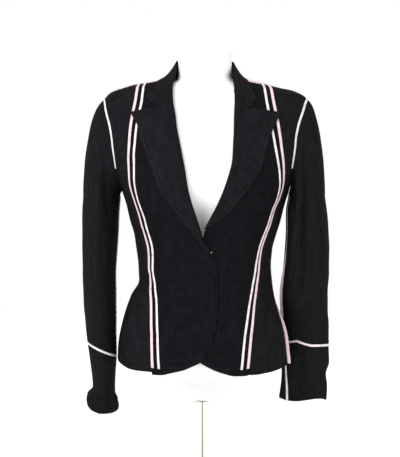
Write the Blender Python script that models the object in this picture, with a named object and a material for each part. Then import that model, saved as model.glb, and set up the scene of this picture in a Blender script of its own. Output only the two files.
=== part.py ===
"""A fitted blazer worn by a limbless dress form on a countertop stand.

Metres, +Z up. The wearer faces -Y, so the wearer's right side is at -X. The origin is the middle of the
stand's foot, on the surface that it stands on.

The blazer is cut as a tailor cuts it: two fronts with folded-out peak lapels, two side fronts, two backs
that meet at a centre back seam, a folded collar, two-piece sleeves with separate cuffs, and satin ribbons
laid along the seams. Every panel is a patch between its own seam lines on one smooth body surface, given
its thickness along that surface's normals, and every ribbon is a strip of its panel's points, moved out.
"""

import math

import bpy
import numpy as np

MM = 0.001
RIGHT = -1
LEFT = 1
NAMES = {RIGHT: "right", LEFT: "left"}

# --- Driving dimensions --------------------------------------------------------------------------------

CLOTH = 2.0 * MM            # outer cloth with its facing, as one wall
HALF_SEAM = 0.15 * MM       # each panel stops this far short of its seam line
LAY = 0.4 * MM              # gap between a piece and what it lies on
RIBBON = 0.9 * MM           # thickness of the satin ribbons
BODY_RIDE = 4.8 * MM        # gap between the cloth and the form where the cloth hangs from it
BODY_EASE = 5.0 * MM        # the same gap further down
LAPEL_LAY = 1.1 * MM        # gap between a lapel and its front
LAPEL_ROLL = 3.5 * MM       # how far a lapel bulges beside its roll line
RIBBON_WIDTHS = {"outer": 6.4 * MM, "inner": 4.6 * MM, "armhole": 3.8 * MM, "shoulder": 4.5 * MM,
                 "side": 6.0 * MM, "sleeve": 4.2 * MM, "cuff": 3.6 * MM}

# How far the right front stands off the body where it laps over the left one, from which line across the
# chest on, and up to which height; each change is spread over its own fade.
OVERLAP = {"lift": 3.4 * MM, "from": -95 * MM, "fade": 70 * MM, "up_to": 490 * MM, "fade_up": 80 * MM}
LAPEL_CLIMB = {"from": 630 * MM, "fade": 40 * MM}       # above it a lapel lies on the princess ribbons

# The outer face of the cloth: half widths and depths by height, in mm.
BODY_COLUMNS = ("height", "right", "left", "front", "back", "roundness")
BODY = [
    (190, 170.0, 162.0, 122, 120, 2.15),
    (225, 169.5, 160.5, 121, 119, 2.15),
    (250, 168.5, 157.5, 119, 118, 2.15),
    (269, 166.5, 154.5, 117, 116, 2.15),
    (298, 160.5, 147.5, 112, 111, 2.15),
    (326, 153.0, 139.0, 105, 104, 2.12),
    (355, 144.0, 131.0, 99, 97, 2.10),
    (384, 125.5, 126.8, 95, 91, 2.10),
    (413, 127.5, 125.2, 96, 89, 2.10),
    (442, 131.0, 127.0, 100, 92, 2.15),
    (470, 136.0, 134.5, 107, 98, 2.20),
    (495, 143.0, 142.5, 115, 104, 2.25),
    (528, 151.0, 150.5, 124, 110, 2.30),
    (557, 160.0, 160.0, 126, 115, 2.35),
    (600, 178.0, 178.0, 119, 121, 2.40),
    (640, 191.0, 191.0, 111, 121, 2.40),
    (680, 198.5, 198.5, 99, 114, 2.35),
    (705, 201.0, 200.5, 89, 103, 2.30),
    (730, 195.0, 194.0, 76, 86, 2.20),
    (736, 191.5, 187.5, 73, 82, 2.20),
    (745, 181.0, 168.0, 68, 75, 2.10),
    (751, 165.0, 143.0, 65, 70, 2.05),
    (757, 143.0, 117.0, 61, 66, 2.00),
    (764, 98.0, 84.0, 58, 62, 2.00),
    (772, 64.0, 63.0, 56, 60, 2.00),
    (785, 54.5, 54.5, 54, 58, 2.00),
    (800, 52.5, 52.5, 52, 57, 2.00),
    (834, 52.0, 52.0, 51, 56, 2.00),
]
BUST = {"rise": 9 * MM, "apart": 84 * MM, "height": 545 * MM, "wide": 44 * MM, "tall": 52 * MM}

SIDE_SEAM_ANGLE = 94        # from the centre front round to the centre back, in degrees
ARMHOLE_FOOT = 557 * MM
SHOULDER_TIP_X = 194 * MM
NECK_POINT_X = 66 * MM      # where the shoulder seam meets the neck seam
# The neck seam between the lapel, the shoulder seam and the centre back, in mm.
NECK_FRONT = [(61, -56, 752), (64, -30, 765)]
NECK_BACK = [(58, 24, 775), (34, 48, 779)]
BACK_NECK = (0, 58, 780)

# The seam between front and side front, and the middle of the second ribbon beside it, in mm.
PRINCESS_COLUMNS = ("height", "right", "right_gap", "left", "left_gap")
PRINCESS = [
    (211, 93.0, 16.0, 86.5, 15.0),
    (280, 96.7, 15.5, 93.0, 15.5),
    (330, 101.0, 15.5, 97.4, 14.5),
    (375, 104.6, 15.0, 101.8, 13.0),
    (405, 104.6, 13.0, 105.3, 12.5),
    (444, 105.1, 14.0, 110.4, 10.5),
    (482, 114.6, 16.0, 123.0, 10.5),
    (518, 123.6, 17.0, 134.5, 11.0),
    (540, 131.3, 17.5, 143.5, 12.0),
    (560, 137.2, 19.0, 149.4, 13.5),
    (590, 139.9, 17.0, 153.0, 14.5),
    (637, 139.8, 15.0, 148.9, 15.5),
    (665, 138.6, 15.0, 145.2, 16.0),
    (705, 133.9, 16.0, 139.3, 17.0),
    (733, 131.4, 16.5, 133.3, 17.0),
]
PRINCESS_TOP_X = {RIGHT: 129.6 * MM, LEFT: 124.0 * MM}

# Points of a front as seen from straight ahead, from the overlapping side: x and z in mm.
FRONT_HEM = {
    RIGHT: [(93, 211), (76, 211), (57, 215), (32, 221)],
    LEFT: [(86.5, 211), (78, 210), (63, 210), (41, 215), (24, 221)],
}
FRONT_EDGE = {              # the cutaway corner and the edge up to the button, past the centre line
    RIGHT: [(32, 221), (14, 229), (0, 236), (-11, 253), (-20, 277), (-26, 298), (-27.5, 326), (-27.5, 400),
            (-24, 421), (-17, 438)],
    LEFT: [(24, 221), (8, 229), (-3, 236), (-13, 253), (-20, 277), (-25, 298), (-26, 326), (-26, 400),
           (-23, 421), (-16, 438)],
}
ROLL_LINE = {
    RIGHT: [(-17, 438), (-3, 462), (0.5, 478), (7.5, 501), (15, 524), (23, 554), (29.5, 591), (39, 637),
            (46, 669), (50, 696), (54.5, 717), (57, 735)],
    LEFT: [(-16, 438), (-3, 462), (3.5, 479), (14.5, 499), (28.8, 525), (41.5, 554), (50.3, 581), (56.7, 609),
           (58, 637), (59, 669), (59, 696), (59.5, 717), (59, 735)],
}
LAPEL_EDGE = {
    RIGHT: [(-13.5, 437), (-8, 440), (12, 468), (33, 496), (60, 530), (76, 551), (84, 572), (92, 591),
            (103, 619), (114, 648), (120, 673), (128, 688), (136.5, 701)],
    LEFT: [(8, 483), (35, 499), (56, 517), (78, 545), (96, 569), (111, 597), (118, 628), (124, 656),
           (133.5, 697.5)],
}
LAPEL_FOOT = {RIGHT: (-16.6, 438.9), LEFT: (5, 481.5)}
NOTCH = {RIGHT: (84.5, 713), LEFT: (88, 711)}
COLLAR_TIP = {RIGHT: (108, 729), LEFT: (101.5, 725)}

ARMHOLE_FRONT = [(162, 568), (167.5, 595), (171.5, 622), (174.5, 646), (179.5, 673), (187, 700), (192.3, 718)]
ARMHOLE_BACK = [(162, 568), (166.5, 595), (169, 622), (172, 646), (177.5, 673), (185.5, 700), (191.8, 718)]
SIDE_HEM = {                # the hem of a side front, between the princess seam and the side seam
    RIGHT: [(123, 219.5), (140, 223.5), (157, 231)],
    LEFT: [(114, 215.5), (132, 218), (147, 221)],
}
SIDE_SEAM_FOOT = {RIGHT: 242 * MM, LEFT: 226 * MM}
BACK_HEM_Z = 224 * MM
HEM_STEP = 5 * MM           # the side fronts and backs are this much shorter than the fronts at the seam

# Sleeves by the height of the arm's middle, in mm: outer and inner edge, middle ahead of (+) or behind (-)
# the shoulder, half depth, and how much higher the outer edge of the ring lies than the inner one.
SLEEVE_COLUMNS = ("height", "outer", "inner", "ahead", "deep", "rise")
SLEEVES = {
    RIGHT: [
        (131, 206.0, 176.0, 20, 29, 0),
        (136, 218.0, 169.0, 20, 38, 1),
        (145, 224.5, 166.5, 20, 44, 2),
        (156, 226.0, 167.5, 20, 46, 4),
        (166, 224.0, 170.0, 19, 45, 7),
        (176, 214.5, 173.0, 19, 42, 10),
        (200, 217.0, 173.5, 18, 43, 18),
        (251, 225.5, 171.0, 14, 45, 27),
        (298, 230.5, 172.0, 9, 48, 14),
        (345, 234.0, 172.8, 5, 51, 4),
        (400, 236.8, 173.6, 1, 54, 0),
        (460, 238.0, 170.3, -3, 57, 0),
        (518, 238.0, 167.5, -4, 60, 0),
        (545, 236.5, 166.0, -4, 61, 0),
    ],
    LEFT: [
        (152, 232.5, 139.5, -62, 38, 0),
        (178, 233.5, 143.0, -65, 37, 0),
        (200, 231.0, 144.4, -68, 37, 0),
        (224, 237.5, 145.0, -70, 37, 0),
        (260, 236.7, 145.5, -69, 38, 0),
        (298, 236.7, 145.0, -62, 40, 0),
        (326, 234.3, 143.8, -53, 42, 0),
        (355, 234.3, 142.5, -43, 45, 0),
        (400, 237.0, 147.5, -29, 48, 0),
        (442, 237.0, 151.5, -18, 52, 0),
        (480, 235.8, 153.3, -10, 56, 0),
        (518, 232.7, 154.2, -5, 60, 0),
        (545, 229.0, 158.5, -3, 61, 0),
    ],
}
BICEPS_Z = 545 * MM
CUFF_SEAM_Z = {RIGHT: 251 * MM, LEFT: 260 * MM}
SLEEVE_END_Z = {RIGHT: 131 * MM, LEFT: 152 * MM}
FRONT_ARM_ANGLE = (9, 14)   # the sleeve's front seam at the armhole and on the arm, outwards from straight ahead
UNDER_ARM_ANGLE = {RIGHT: (-115.2, -104), LEFT: (-90, -78)}
CUFF_SEAM_ANGLE = {RIGHT: (-92, -84), LEFT: (-70, -43)}       # a cuff's own seam, at its top and at its end
CUFF_GATHERS = {"count": 20, "rise": 1.7 * MM, "top": 182 * MM, "full": 158 * MM}
CUFF_WAVE = {"count": 3, "rise": 2.2 * MM, "top": 200 * MM}
ARMHOLE_GAP = 0.6 * MM      # a sleeve starts this far outside the armhole
CUFF_GAP = 0.3 * MM         # and a cuff this far below its seam line
SLEEVE_LEAVE = (0.92, -0.39)            # which way it leaves the armhole: outwards and up
CAP_SPRING = {RIGHT: 0.5, LEFT: 0.38}   # how strongly a sleeve's cap springs outwards from the armhole

COLLAR_SEAT = 1.2 * MM      # the stand's foot is this far above the neck seam
COLLAR_CLEAR = 2.9 * MM     # from the body surface to the middle of the collar's fall
# Collar: the fold that stands round the neck and the outer edge that lies on the shoulders, in mm.
COLLAR_FOLD = [(57.5, -64, 748), (56, -56, 756), (53, -44, 766), (53, -32, 777), (54.5, -12, 793), (54, 4, 803),
               (50.5, 24, 808), (41, 43, 810), (24, 56, 811), (0, 61.5, 811.5)]
COLLAR_OUTER = [(95, -46, 742), (88, -20, 758), (84.5, 2, 763), (77, 32, 760), (62, 53, 757), (38, 64, 755),
                (0, 68, 754.5)]
COLLAR_BACK = (0, 68, 784)  # the middle of its fall at the centre back
COLLAR_SPREAD = {RIGHT: 4.5 * MM, LEFT: -3.5 * MM}    # how much further out its edge crosses each shoulder

# Form: its seat under the blazer's hem, as shares of its section at the hip, and the width of its trunk, in mm.
SEAT_COLUMNS = ("height", "width", "depth")
SEAT = [
    (160, 0.12, 0.15),
    (161.5, 0.165, 0.20),
    (168, 0.25, 0.31),
    (176, 0.33, 0.42),
    (186, 0.455, 0.55),
    (198, 0.635, 0.71),
    (211, 0.80, 0.84),
    (226, 0.925, 0.94),
    (250, 1.0, 1.0),
]
FORM_HALF_WIDTH = [(250, 145), (298, 140), (355, 127), (384, 122.5), (442, 126), (495, 137), (557, 150), (600, 153),
                  (640, 157), (680, 163), (705, 171), (720, 178), (736, 181), (745, 172)]
FORM_RINGS = [285, 325, 360, 390, 425, 460, 500, 530, 557, 585, 620, 655, 685, 705, 718, 728, 736, 743, 749, 755,
              760, 765, 771, 778, 788, 802]
FORM_EDGE = 22 * MM         # how gradually the form's trunk turns into its flat sides
FORM_TOP = 829 * MM
POLE = {"x": 0.0, "radius": 14.5 * MM, "top": 159.7 * MM}
FOOT = {"radius": 150 * MM, "height": 12 * MM, "chamfer": 3 * MM}
GARMENT_X = 8 * MM          # the garment's centre line lies this far to the left of the pole

# Mesh rows and columns. The shares put a row or a column on each corner of a panel's edge.
SIDE_ROWS = 12
RIBBON_START_SHARE = 0.022  # the ribbons down the fronts stop this far above the hem
SIDE_SEAM_SHARE = 0.60
ARMHOLE_SHARES = np.array((0, 0.14, 0.28, 0.42, 0.55, 0.67, 0.77, 0.86, 0.94, 1))
PANEL_SHARES = np.concatenate(([0, RIBBON_START_SHARE], np.arange(1, SIDE_ROWS) / SIDE_ROWS * SIDE_SEAM_SHARE,
                               SIDE_SEAM_SHARE + (1 - SIDE_SEAM_SHARE) * ARMHOLE_SHARES))
ARMHOLE_ROW = SIDE_ROWS + 1
FRONT_EDGE_SHARES = (0.40, 0.50, 0.10)
BACK_COLUMNS = 8
BACK_NECK_SHARE = 3 / BACK_COLUMNS
CAP_LEVELS = (0, 0.05, 0.22, 0.42, 0.65, 0.85)
SLEEVE_ROWS = 9
CUFF_ROWS = 6
LAPEL_ROWS = 14
LAPEL_COLUMNS = 6
LAPEL_GORGE_SHARE = 2 / LAPEL_COLUMNS
COLLAR_ROWS = 13
COLLAR_COLUMNS = 5
COLLAR_GORGE_SHARE = 3 / COLLAR_COLUMNS
FORM_SIDES = 32


# --- Smooth lines and the body surface -----------------------------------------------------------------

class Curve:
    """A smooth function through the points of a table, which never swings past them."""

    def __init__(self, xs, ys):
        self.x, self.y = np.array(xs, float), np.array(ys, float)
        rise = np.diff(self.y) / np.diff(self.x)
        before, after = rise[:-1], rise[1:]
        total = np.where(before * after > 0, before + after, 1)
        inner = np.where(before * after > 0, 2 * before * after / total, 0)
        self.slope = np.concatenate((rise[:1], inner, rise[-1:]))

    def __call__(self, x):
        x = np.clip(x, self.x[0], self.x[-1])
        k = np.clip(np.searchsorted(self.x, x, side="right") - 1, 0, len(self.x) - 2)
        h = self.x[k + 1] - self.x[k]
        t = (x - self.x[k]) / h
        ends = self.y[k] * (1 + 2 * t) * (1 - t) ** 2 + self.y[k + 1] * t * t * (3 - 2 * t)
        return ends + h * (self.slope[k] * t * (1 - t) ** 2 + self.slope[k + 1] * t * t * (t - 1))


def columns_of(rows, names):
    """A table in mm as one smooth function of height for each of its other columns, in metres."""
    heights = [row[0] * MM for row in rows]
    return {name: Curve(heights, [row[k] * MM for row in rows])
            for k, name in enumerate(names) if k > 0}


BODY_AT = columns_of(BODY, BODY_COLUMNS)
RIDGE_ROWS = [row for row in BODY if row[0] >= 705]
RIDGE = {side: Curve([row[BODY_COLUMNS.index(NAMES[side])] * MM for row in reversed(RIDGE_ROWS)],
                     [row[0] * MM for row in reversed(RIDGE_ROWS)]) for side in (RIGHT, LEFT)}


def unit(v):
    return v / np.linalg.norm(v, axis=-1, keepdims=True)


def smooth_step(t):
    t = np.clip(t, 0, 1)
    return t * t * (3 - 2 * t)


def half_width(x, z):
    return np.where(x < 0, BODY_AT["right"](z), BODY_AT["left"](z))


def depth(x, y, z):
    across = (abs(x) - BUST["apart"]) / BUST["wide"]
    up = (z - BUST["height"]) / BUST["tall"]
    front = BODY_AT["front"](z) + BUST["rise"] * np.exp(-across ** 2 - up ** 2)
    return np.where(y > 0, BODY_AT["back"](z), front)


def body_level(p):
    """1 on the body surface, less inside it and more outside."""
    x, y, z = p[..., 0], p[..., 1], p[..., 2]
    n = BODY_AT["roundness"](z) / MM
    return ((abs(x) / half_width(x, z)) ** n + (abs(y) / depth(x, y, z)) ** n) ** (1 / n)


def body_slope(p, step=0.2 * MM):
    shifts = np.eye(3) * step
    return np.stack([body_level(p + s) - body_level(p - s) for s in shifts], axis=-1) / (2 * step)


def body_normal(p):
    return unit(body_slope(p))


def on_body(p):
    """The points of the body surface next to the given ones."""
    p = np.array(p, float)
    for _ in range(8):
        slope = body_slope(p)
        p = p - (body_level(p) - 1)[..., None] * slope / (slope ** 2).sum(-1, keepdims=True)
    return p


def face_point(side, x, z, back=False):
    """The point of a side's front or back that lies at x and z as seen from straight ahead."""
    x, z = side * x, z * 1.0
    n = BODY_AT["roundness"](z) / MM
    share = np.clip(abs(x) / half_width(x, z), 0, 1) ** n
    ahead = 1 if back else -1
    return np.array((x, ahead * depth(x, ahead, z) * (1 - share) ** (1 / n), z))


def face_points(side, table, back=False):
    return [face_point(side, x * MM, z * MM, back) for x, z in table]


def ring_point(side, angle, z):
    """A point at a height, by its angle from the centre front round to the centre back."""
    n = BODY_AT["roundness"](z) / MM
    across, ahead = math.sin(math.radians(angle)), math.cos(math.radians(angle))
    x = side * half_width(side, z) * abs(across) ** (2 / n)
    y = -math.copysign(1, ahead) * depth(x, -ahead, z) * abs(ahead) ** (2 / n)
    return np.array((float(x), float(y), z))


def mirrored(side, table):
    """A side's own points, from a table in mm for the wearer's left side."""
    return [(side * x * MM, y * MM, z * MM) for x, y, z in table]


def shoulder_point(side, x):
    return np.array((side * x, 0.0, float(RIDGE[side](x))))


class Path:
    """A smooth line through its key points, read by its share of length from 0 to 1."""

    def __init__(self, keys, fit=on_body):
        keys = np.array(keys, float)
        reach = np.concatenate(([0], np.cumsum(np.linalg.norm(np.diff(keys, axis=0), axis=1))))
        dense = np.linspace(0, reach[-1], 240)
        points = np.stack([Curve(reach, keys[:, k])(dense) for k in range(3)], axis=-1)
        self.points = fit(points) if fit else points
        steps = np.linalg.norm(np.diff(self.points, axis=0), axis=1)
        self.reach = np.concatenate(([0], np.cumsum(steps)))
        self.length = self.reach[-1]

    def __call__(self, t):
        at = np.asarray(t) * self.length
        return np.stack([np.interp(at, self.reach, self.points[:, k]) for k in range(3)], axis=-1)


class Chain:
    """Paths end to end, each with its own share of the whole, so that corners stay sharp."""

    def __init__(self, *links):
        self.paths = [path for path, _ in links]
        self.marks = np.cumsum([0.0] + [share for _, share in links])
        self.length = sum(path.length for path in self.paths)

    def __call__(self, t):
        t = np.asarray(t, float)
        k = np.clip(np.searchsorted(self.marks, t, side="right") - 1, 0, len(self.paths) - 1)
        out = np.zeros(t.shape + (3,))
        for i, path in enumerate(self.paths):
            share = (t - self.marks[i]) / (self.marks[i + 1] - self.marks[i])
            out = np.where((k == i)[..., None], path(np.clip(share, 0, 1)), out)
        return out


def coons(left, right, bottom, top, s, v):
    """The patch between four lines that meet at its corners: s runs from left to right, v upwards."""
    s3, v3 = s[..., None], v[..., None]
    sides = (1 - s3) * left(v) + s3 * right(v)
    ends = (1 - v3) * bottom(s) + v3 * top(s)
    corners = ((1 - s3) * (1 - v3) * bottom(np.zeros_like(s)) + s3 * (1 - v3) * bottom(np.ones_like(s))
               + (1 - s3) * v3 * top(np.zeros_like(s)) + s3 * v3 * top(np.ones_like(s)))
    return sides + ends - corners


def stations(length, near, far, count):
    """Shares of a length: at the given distances from its start and its end, and evenly between them."""
    length = np.asarray(length)[..., None]
    start = np.array([0.0] + list(near)) / length
    end = 1 - np.array(list(far) + [0.0]) / length
    between = np.linspace(0, 1, count + 1)[1:-1]
    middle = start[..., -1:] + (end[..., :1] - start[..., -1:]) * between
    return np.concatenate((start, middle, end), axis=-1)


def pull_in(grid, gap=HALF_SEAM):
    """Moves a grid's rim towards its inside, which leaves the gap at its seams."""
    out = grid.copy()
    for edge, inner in ((0, 1), (-1, -2)):
        out[edge] += unit(grid[inner] - grid[edge]) * gap
    grid = out.copy()
    for edge, inner in ((0, 1), (-1, -2)):
        out[:, edge] += unit(grid[:, inner] - grid[:, edge]) * gap
    return out


# --- Solids --------------------------------------------------------------------------------------------

def material(name, colour, roughness, metallic=0.0):
    made = bpy.data.materials.new(name)
    made.use_nodes = True
    shader = made.node_tree.nodes["Principled BSDF"]
    shader.inputs["Base Color"].default_value = (*colour, 1)
    shader.inputs["Roughness"].default_value = roughness
    shader.inputs["Metallic"].default_value = metallic
    return made


def add_object(name, points, faces, look):
    mesh = bpy.data.meshes.new(name)
    mesh.from_pydata([tuple(p) for p in points], [], faces)
    mesh.update()
    mesh.materials.append(look)
    mesh.shade_smooth()
    mesh.set_sharp_from_angle(angle=math.radians(40))
    made = bpy.data.objects.new(name, mesh)
    bpy.context.scene.collection.objects.link(made)
    return made


def slab(name, outer, inner, look, ring=False):
    """A closed wall between two matching grids; a ring's last column joins its first."""
    rows, cols = outer.shape[:2]
    points = np.concatenate((outer.reshape(-1, 3), inner.reshape(-1, 3)))
    points[:, 0] += GARMENT_X
    half = rows * cols

    def at(i, j):
        return i * cols + j % cols

    faces = []
    for i in range(rows - 1):
        for j in range(cols if ring else cols - 1):
            for corner in (at(i, j + 1), at(i + 1, j + 1)), (at(i + 1, j + 1), at(i + 1, j)):
                faces.append((at(i, j), *corner))
                faces.append((half + corner[1], half + corner[0], half + at(i, j)))

    def rim(a, b, flip):
        for face in (a, b, half + b), (a, half + b, half + a):
            faces.append(face[::-1] if flip else face)

    for j in range(cols if ring else cols - 1):
        rim(at(0, j), at(0, j + 1), True)
        rim(at(rows - 1, j), at(rows - 1, j + 1), False)
    for i in range(0 if ring else rows - 1):
        rim(at(i, 0), at(i + 1, 0), False)
        rim(at(i, cols - 1), at(i + 1, cols - 1), True)
    facing = np.cross(outer[:-1, 1:] - outer[:-1, :-1], outer[1:, :-1] - outer[:-1, :-1])
    if (facing * (outer - inner)[:-1, :-1]).sum() < 0:
        faces = [tuple(reversed(face)) for face in faces]
    return add_object(name, points, faces, look)


def lathe(name, profile, centre_x, look, sides=48):
    """A closed turned solid: the profile runs from the axis at the bottom to the axis at the top."""
    angles = [2 * math.pi * k / sides for k in range(sides)]
    points = [(centre_x + r * math.cos(a), r * math.sin(a), z) for r, z in profile for a in angles]
    faces = [tuple(range(sides - 1, -1, -1))]
    for i in range(len(profile) - 1):
        for j in range(sides):
            k = (j + 1) % sides
            faces.append((i * sides + j, i * sides + k, (i + 1) * sides + k, (i + 1) * sides + j))
    last = (len(profile) - 1) * sides
    faces.append(tuple(last + j for j in range(sides)))
    return add_object(name, points, faces, look)


# === PIECES ===

def overlap_lift(side, grid):
    """How far a front's outer face stands off the body surface: the right one laps over the left one."""
    if side == LEFT:
        return np.zeros(grid.shape[:-1])
    near = smooth_step((grid[..., 0] - OVERLAP["from"]) / OVERLAP["fade"])
    low = 1 - smooth_step((grid[..., 2] - OVERLAP["up_to"]) / OVERLAP["fade_up"])
    return OVERLAP["lift"] * near * low


def wall(name, grid, lift, look, thickness=CLOTH):
    normal = body_normal(grid)
    if not np.ndim(lift):
        lift = np.full(grid.shape[:-1], float(lift))
    return slab(name, grid + normal * lift[..., None], grid + normal * (lift - thickness)[..., None], look)


def princess_path(side):
    name = NAMES[side]
    column = PRINCESS_COLUMNS.index(name)
    keys = [face_point(side, row[column] * MM, row[0] * MM) for row in PRINCESS]
    return Path(keys + [shoulder_point(side, PRINCESS_TOP_X[side])])


def side_seam_path(side):
    heights = np.linspace(SIDE_SEAM_FOOT[side], ARMHOLE_FOOT, 9)
    return Path([ring_point(side, SIDE_SEAM_ANGLE, z) for z in heights])


def armhole_path(side, back=False):
    table = ARMHOLE_BACK if back else ARMHOLE_FRONT
    foot = [ring_point(side, SIDE_SEAM_ANGLE, ARMHOLE_FOOT)]
    return Path(foot + face_points(side, table, back) + [shoulder_point(side, SHOULDER_TIP_X)])


def neck_path(side):
    """The neck seam of a front, from the top of the roll line to the shoulder seam."""
    start = face_points(side, ROLL_LINE[side][-1:])
    return Path(start + mirrored(side, NECK_FRONT) + [shoulder_point(side, NECK_POINT_X)])


def back_neck_path(side):
    return Path([shoulder_point(side, NECK_POINT_X)] + mirrored(side, NECK_BACK + [BACK_NECK]))


def front_grid(side):
    seam = princess_path(side)
    shoulder = Path([shoulder_point(side, x)
                     for x in np.linspace(PRINCESS_TOP_X[side], NECK_POINT_X, 7)])
    paths = (Path(face_points(side, FRONT_EDGE[side])), Path(face_points(side, ROLL_LINE[side])),
             neck_path(side))
    edge = Chain(*zip(paths, FRONT_EDGE_SHARES))
    hem = Path(face_points(side, FRONT_HEM[side]))
    v = np.repeat(PANEL_SHARES[:, None], 2, axis=1)
    rim = coons(seam, edge, hem, shoulder, np.array([[0.0, 1.0]] * len(v)), v)
    width = np.linalg.norm(rim[:, 1] - rim[:, 0], axis=-1)
    gaps = Curve([row[0] * MM for row in PRINCESS],
                 [row[PRINCESS_COLUMNS.index(NAMES[side] + "_gap")] * MM for row in PRINCESS])
    middle = gaps(rim[:, 0, 2])
    rows = []
    for reach, ribbon in zip(width, middle):
        outer, half = RIBBON_WIDTHS["outer"], RIBBON_WIDTHS["inner"] / 2
        rows.append(stations(reach, (outer, ribbon - half, ribbon + half), (), 4))
    s = np.array(rows)
    v = np.repeat(v[:, :1], s.shape[1], axis=1)
    return pull_in(on_body(coons(seam, edge, hem, shoulder, s, v)))


def side_front_grid(side):
    seam = princess_path(side)
    outer = Chain((side_seam_path(side), SIDE_SEAM_SHARE), (armhole_path(side), 1 - SIDE_SEAM_SHARE))
    shoulder = Path([shoulder_point(side, x)
                     for x in np.linspace(PRINCESS_TOP_X[side], SHOULDER_TIP_X, 7)])

    def lifted(v):
        return seam(v + np.maximum(0, 1 - v / PANEL_SHARES[1]) * HEM_STEP / seam.length)

    hem = Path([lifted(0.0)] + face_points(side, SIDE_HEM[side])
               + [ring_point(side, SIDE_SEAM_ANGLE, SIDE_SEAM_FOOT[side])])
    v = np.repeat(PANEL_SHARES[:, None], 2, axis=1)
    rim = coons(lifted, outer, hem, shoulder, np.array([[0.0, 1.0]] * len(v)), v)
    width = np.linalg.norm(rim[:, 1] - rim[:, 0], axis=-1)
    s = np.array([stations(reach, (), (RIBBON_WIDTHS["armhole"],), 4) for reach in width])
    v = np.repeat(v[:, :1], s.shape[1], axis=1)
    return pull_in(on_body(coons(lifted, outer, hem, shoulder, s, v)))


def back_grid(side):
    heights = np.linspace(BACK_HEM_Z, BACK_NECK[2] * MM, 12)
    centre = Path([(0.0, float(BODY_AT["back"](z)), z) for z in heights])
    outer = Chain((side_seam_path(side), SIDE_SEAM_SHARE),
                  (armhole_path(side, back=True), 1 - SIDE_SEAM_SHARE))
    neck = Path([centre(1.0)] + mirrored(side, NECK_BACK[::-1]) + [shoulder_point(side, NECK_POINT_X)])
    shoulder = Path([shoulder_point(side, x) for x in np.linspace(NECK_POINT_X, SHOULDER_TIP_X, 9)])
    top = Chain((neck, BACK_NECK_SHARE), (shoulder, 1 - BACK_NECK_SHARE))
    foot = ring_point(side, SIDE_SEAM_ANGLE, SIDE_SEAM_FOOT[side])
    hem = Path([centre(0.0)] + [ring_point(side, a, z) for a, z in
               ((160, BACK_HEM_Z), (130, 0.5 * (BACK_HEM_Z + foot[2])))] + [foot])
    v = np.insert(PANEL_SHARES, -1, 1 - RIBBON_WIDTHS["shoulder"] / outer.length)
    v = np.repeat(v[:, None], 2, axis=1)
    rim = coons(centre, outer, hem, top, np.array([[0.0, 1.0]] * len(v)), v)
    width = np.linalg.norm(rim[:, 1] - rim[:, 0], axis=-1)
    narrow = np.where(v[:, 0] <= SIDE_SEAM_SHARE, RIBBON_WIDTHS["side"], RIBBON_WIDTHS["armhole"])
    even = np.arange(BACK_COLUMNS) / BACK_COLUMNS
    s = np.array([np.append(even, (1 - strip / reach, 1.0)) for strip, reach in zip(narrow, width)])
    v = np.repeat(v[:, :1], s.shape[1], axis=1)
    return pull_in(on_body(coons(centre, outer, hem, top, s, v)))


def ribbon_on(name, grid, lift, look, thickness=RIBBON):
    """A ribbon made from some of a panel's own points, moved out."""
    wall(name, grid, lift + LAY + thickness, look, thickness)


def sleeve_ring(side, angle, z):
    """Points of a sleeve's ring: 0 degrees is ahead, 90 outwards and -90 towards the body."""
    at = SLEEVE_AT[side]
    turn = np.radians(angle)
    middle, half = (at["outer"](z) + at["inner"](z)) / 2, (at["outer"](z) - at["inner"](z)) / 2
    if side == RIGHT:
        gathered = smooth_step((CUFF_GATHERS["top"] - z) / (CUFF_GATHERS["top"] - CUFF_GATHERS["full"]))
        out = CUFF_GATHERS["rise"] * gathered * np.cos(CUFF_GATHERS["count"] * turn)
        drop = 0
    else:
        out = 0
        low = smooth_step((CUFF_WAVE["top"] - z) / (CUFF_WAVE["top"] - SLEEVE_END_Z[LEFT]))
        drop = CUFF_WAVE["rise"] * low * np.cos(CUFF_WAVE["count"] * turn + 1.2)
    x = side * (middle + (half + out) * np.sin(turn))
    y = -at["ahead"](z) - (at["deep"](z) + out) * np.cos(turn)
    return np.stack(np.broadcast_arrays(x, y, z + at["rise"](z) / 2 * np.sin(turn) - drop), axis=-1)


def armhole_ring(side, angle):
    """The armhole's points by the angle of the sleeve's line that starts there."""
    turn = (np.asarray(angle) + 90) % 360
    front, back = ARMHOLES[side]
    return np.where((turn < 180)[..., None], front(np.clip(turn / 180, 0, 1)),
                    back(np.clip(2 - turn / 180, 0, 1)))


def sleeve_point(side, angle, level):
    """A sleeve's surface: level 0 is the armhole, 1 the biceps, 2 the cuff's seam and 3 its end."""
    angle, level = np.broadcast_arrays(angle, level)
    z = np.interp(level, (1, 2, 3), (BICEPS_Z, CUFF_SEAM_Z[side], SLEEVE_END_Z[side]))
    ring = sleeve_ring(side, angle, z)
    leave = np.array((side * SLEEVE_LEAVE[0], 0, SLEEVE_LEAVE[1]))
    start = armhole_ring(side, angle) + leave * ARMHOLE_GAP
    t = np.clip(level, 0, 1)[..., None]
    chord = np.linalg.norm(ring - start, axis=-1, keepdims=True)
    cap = (start * (1 + 2 * t) * (1 - t) ** 2 + ring * t * t * (3 - 2 * t)
           + chord * (CAP_SPRING[side] * leave * t * (1 - t) ** 2 - np.array((0, 0, -1.0)) * t * t * (1 - t)))
    return np.where(level[..., None] < 1, cap, ring)


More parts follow.
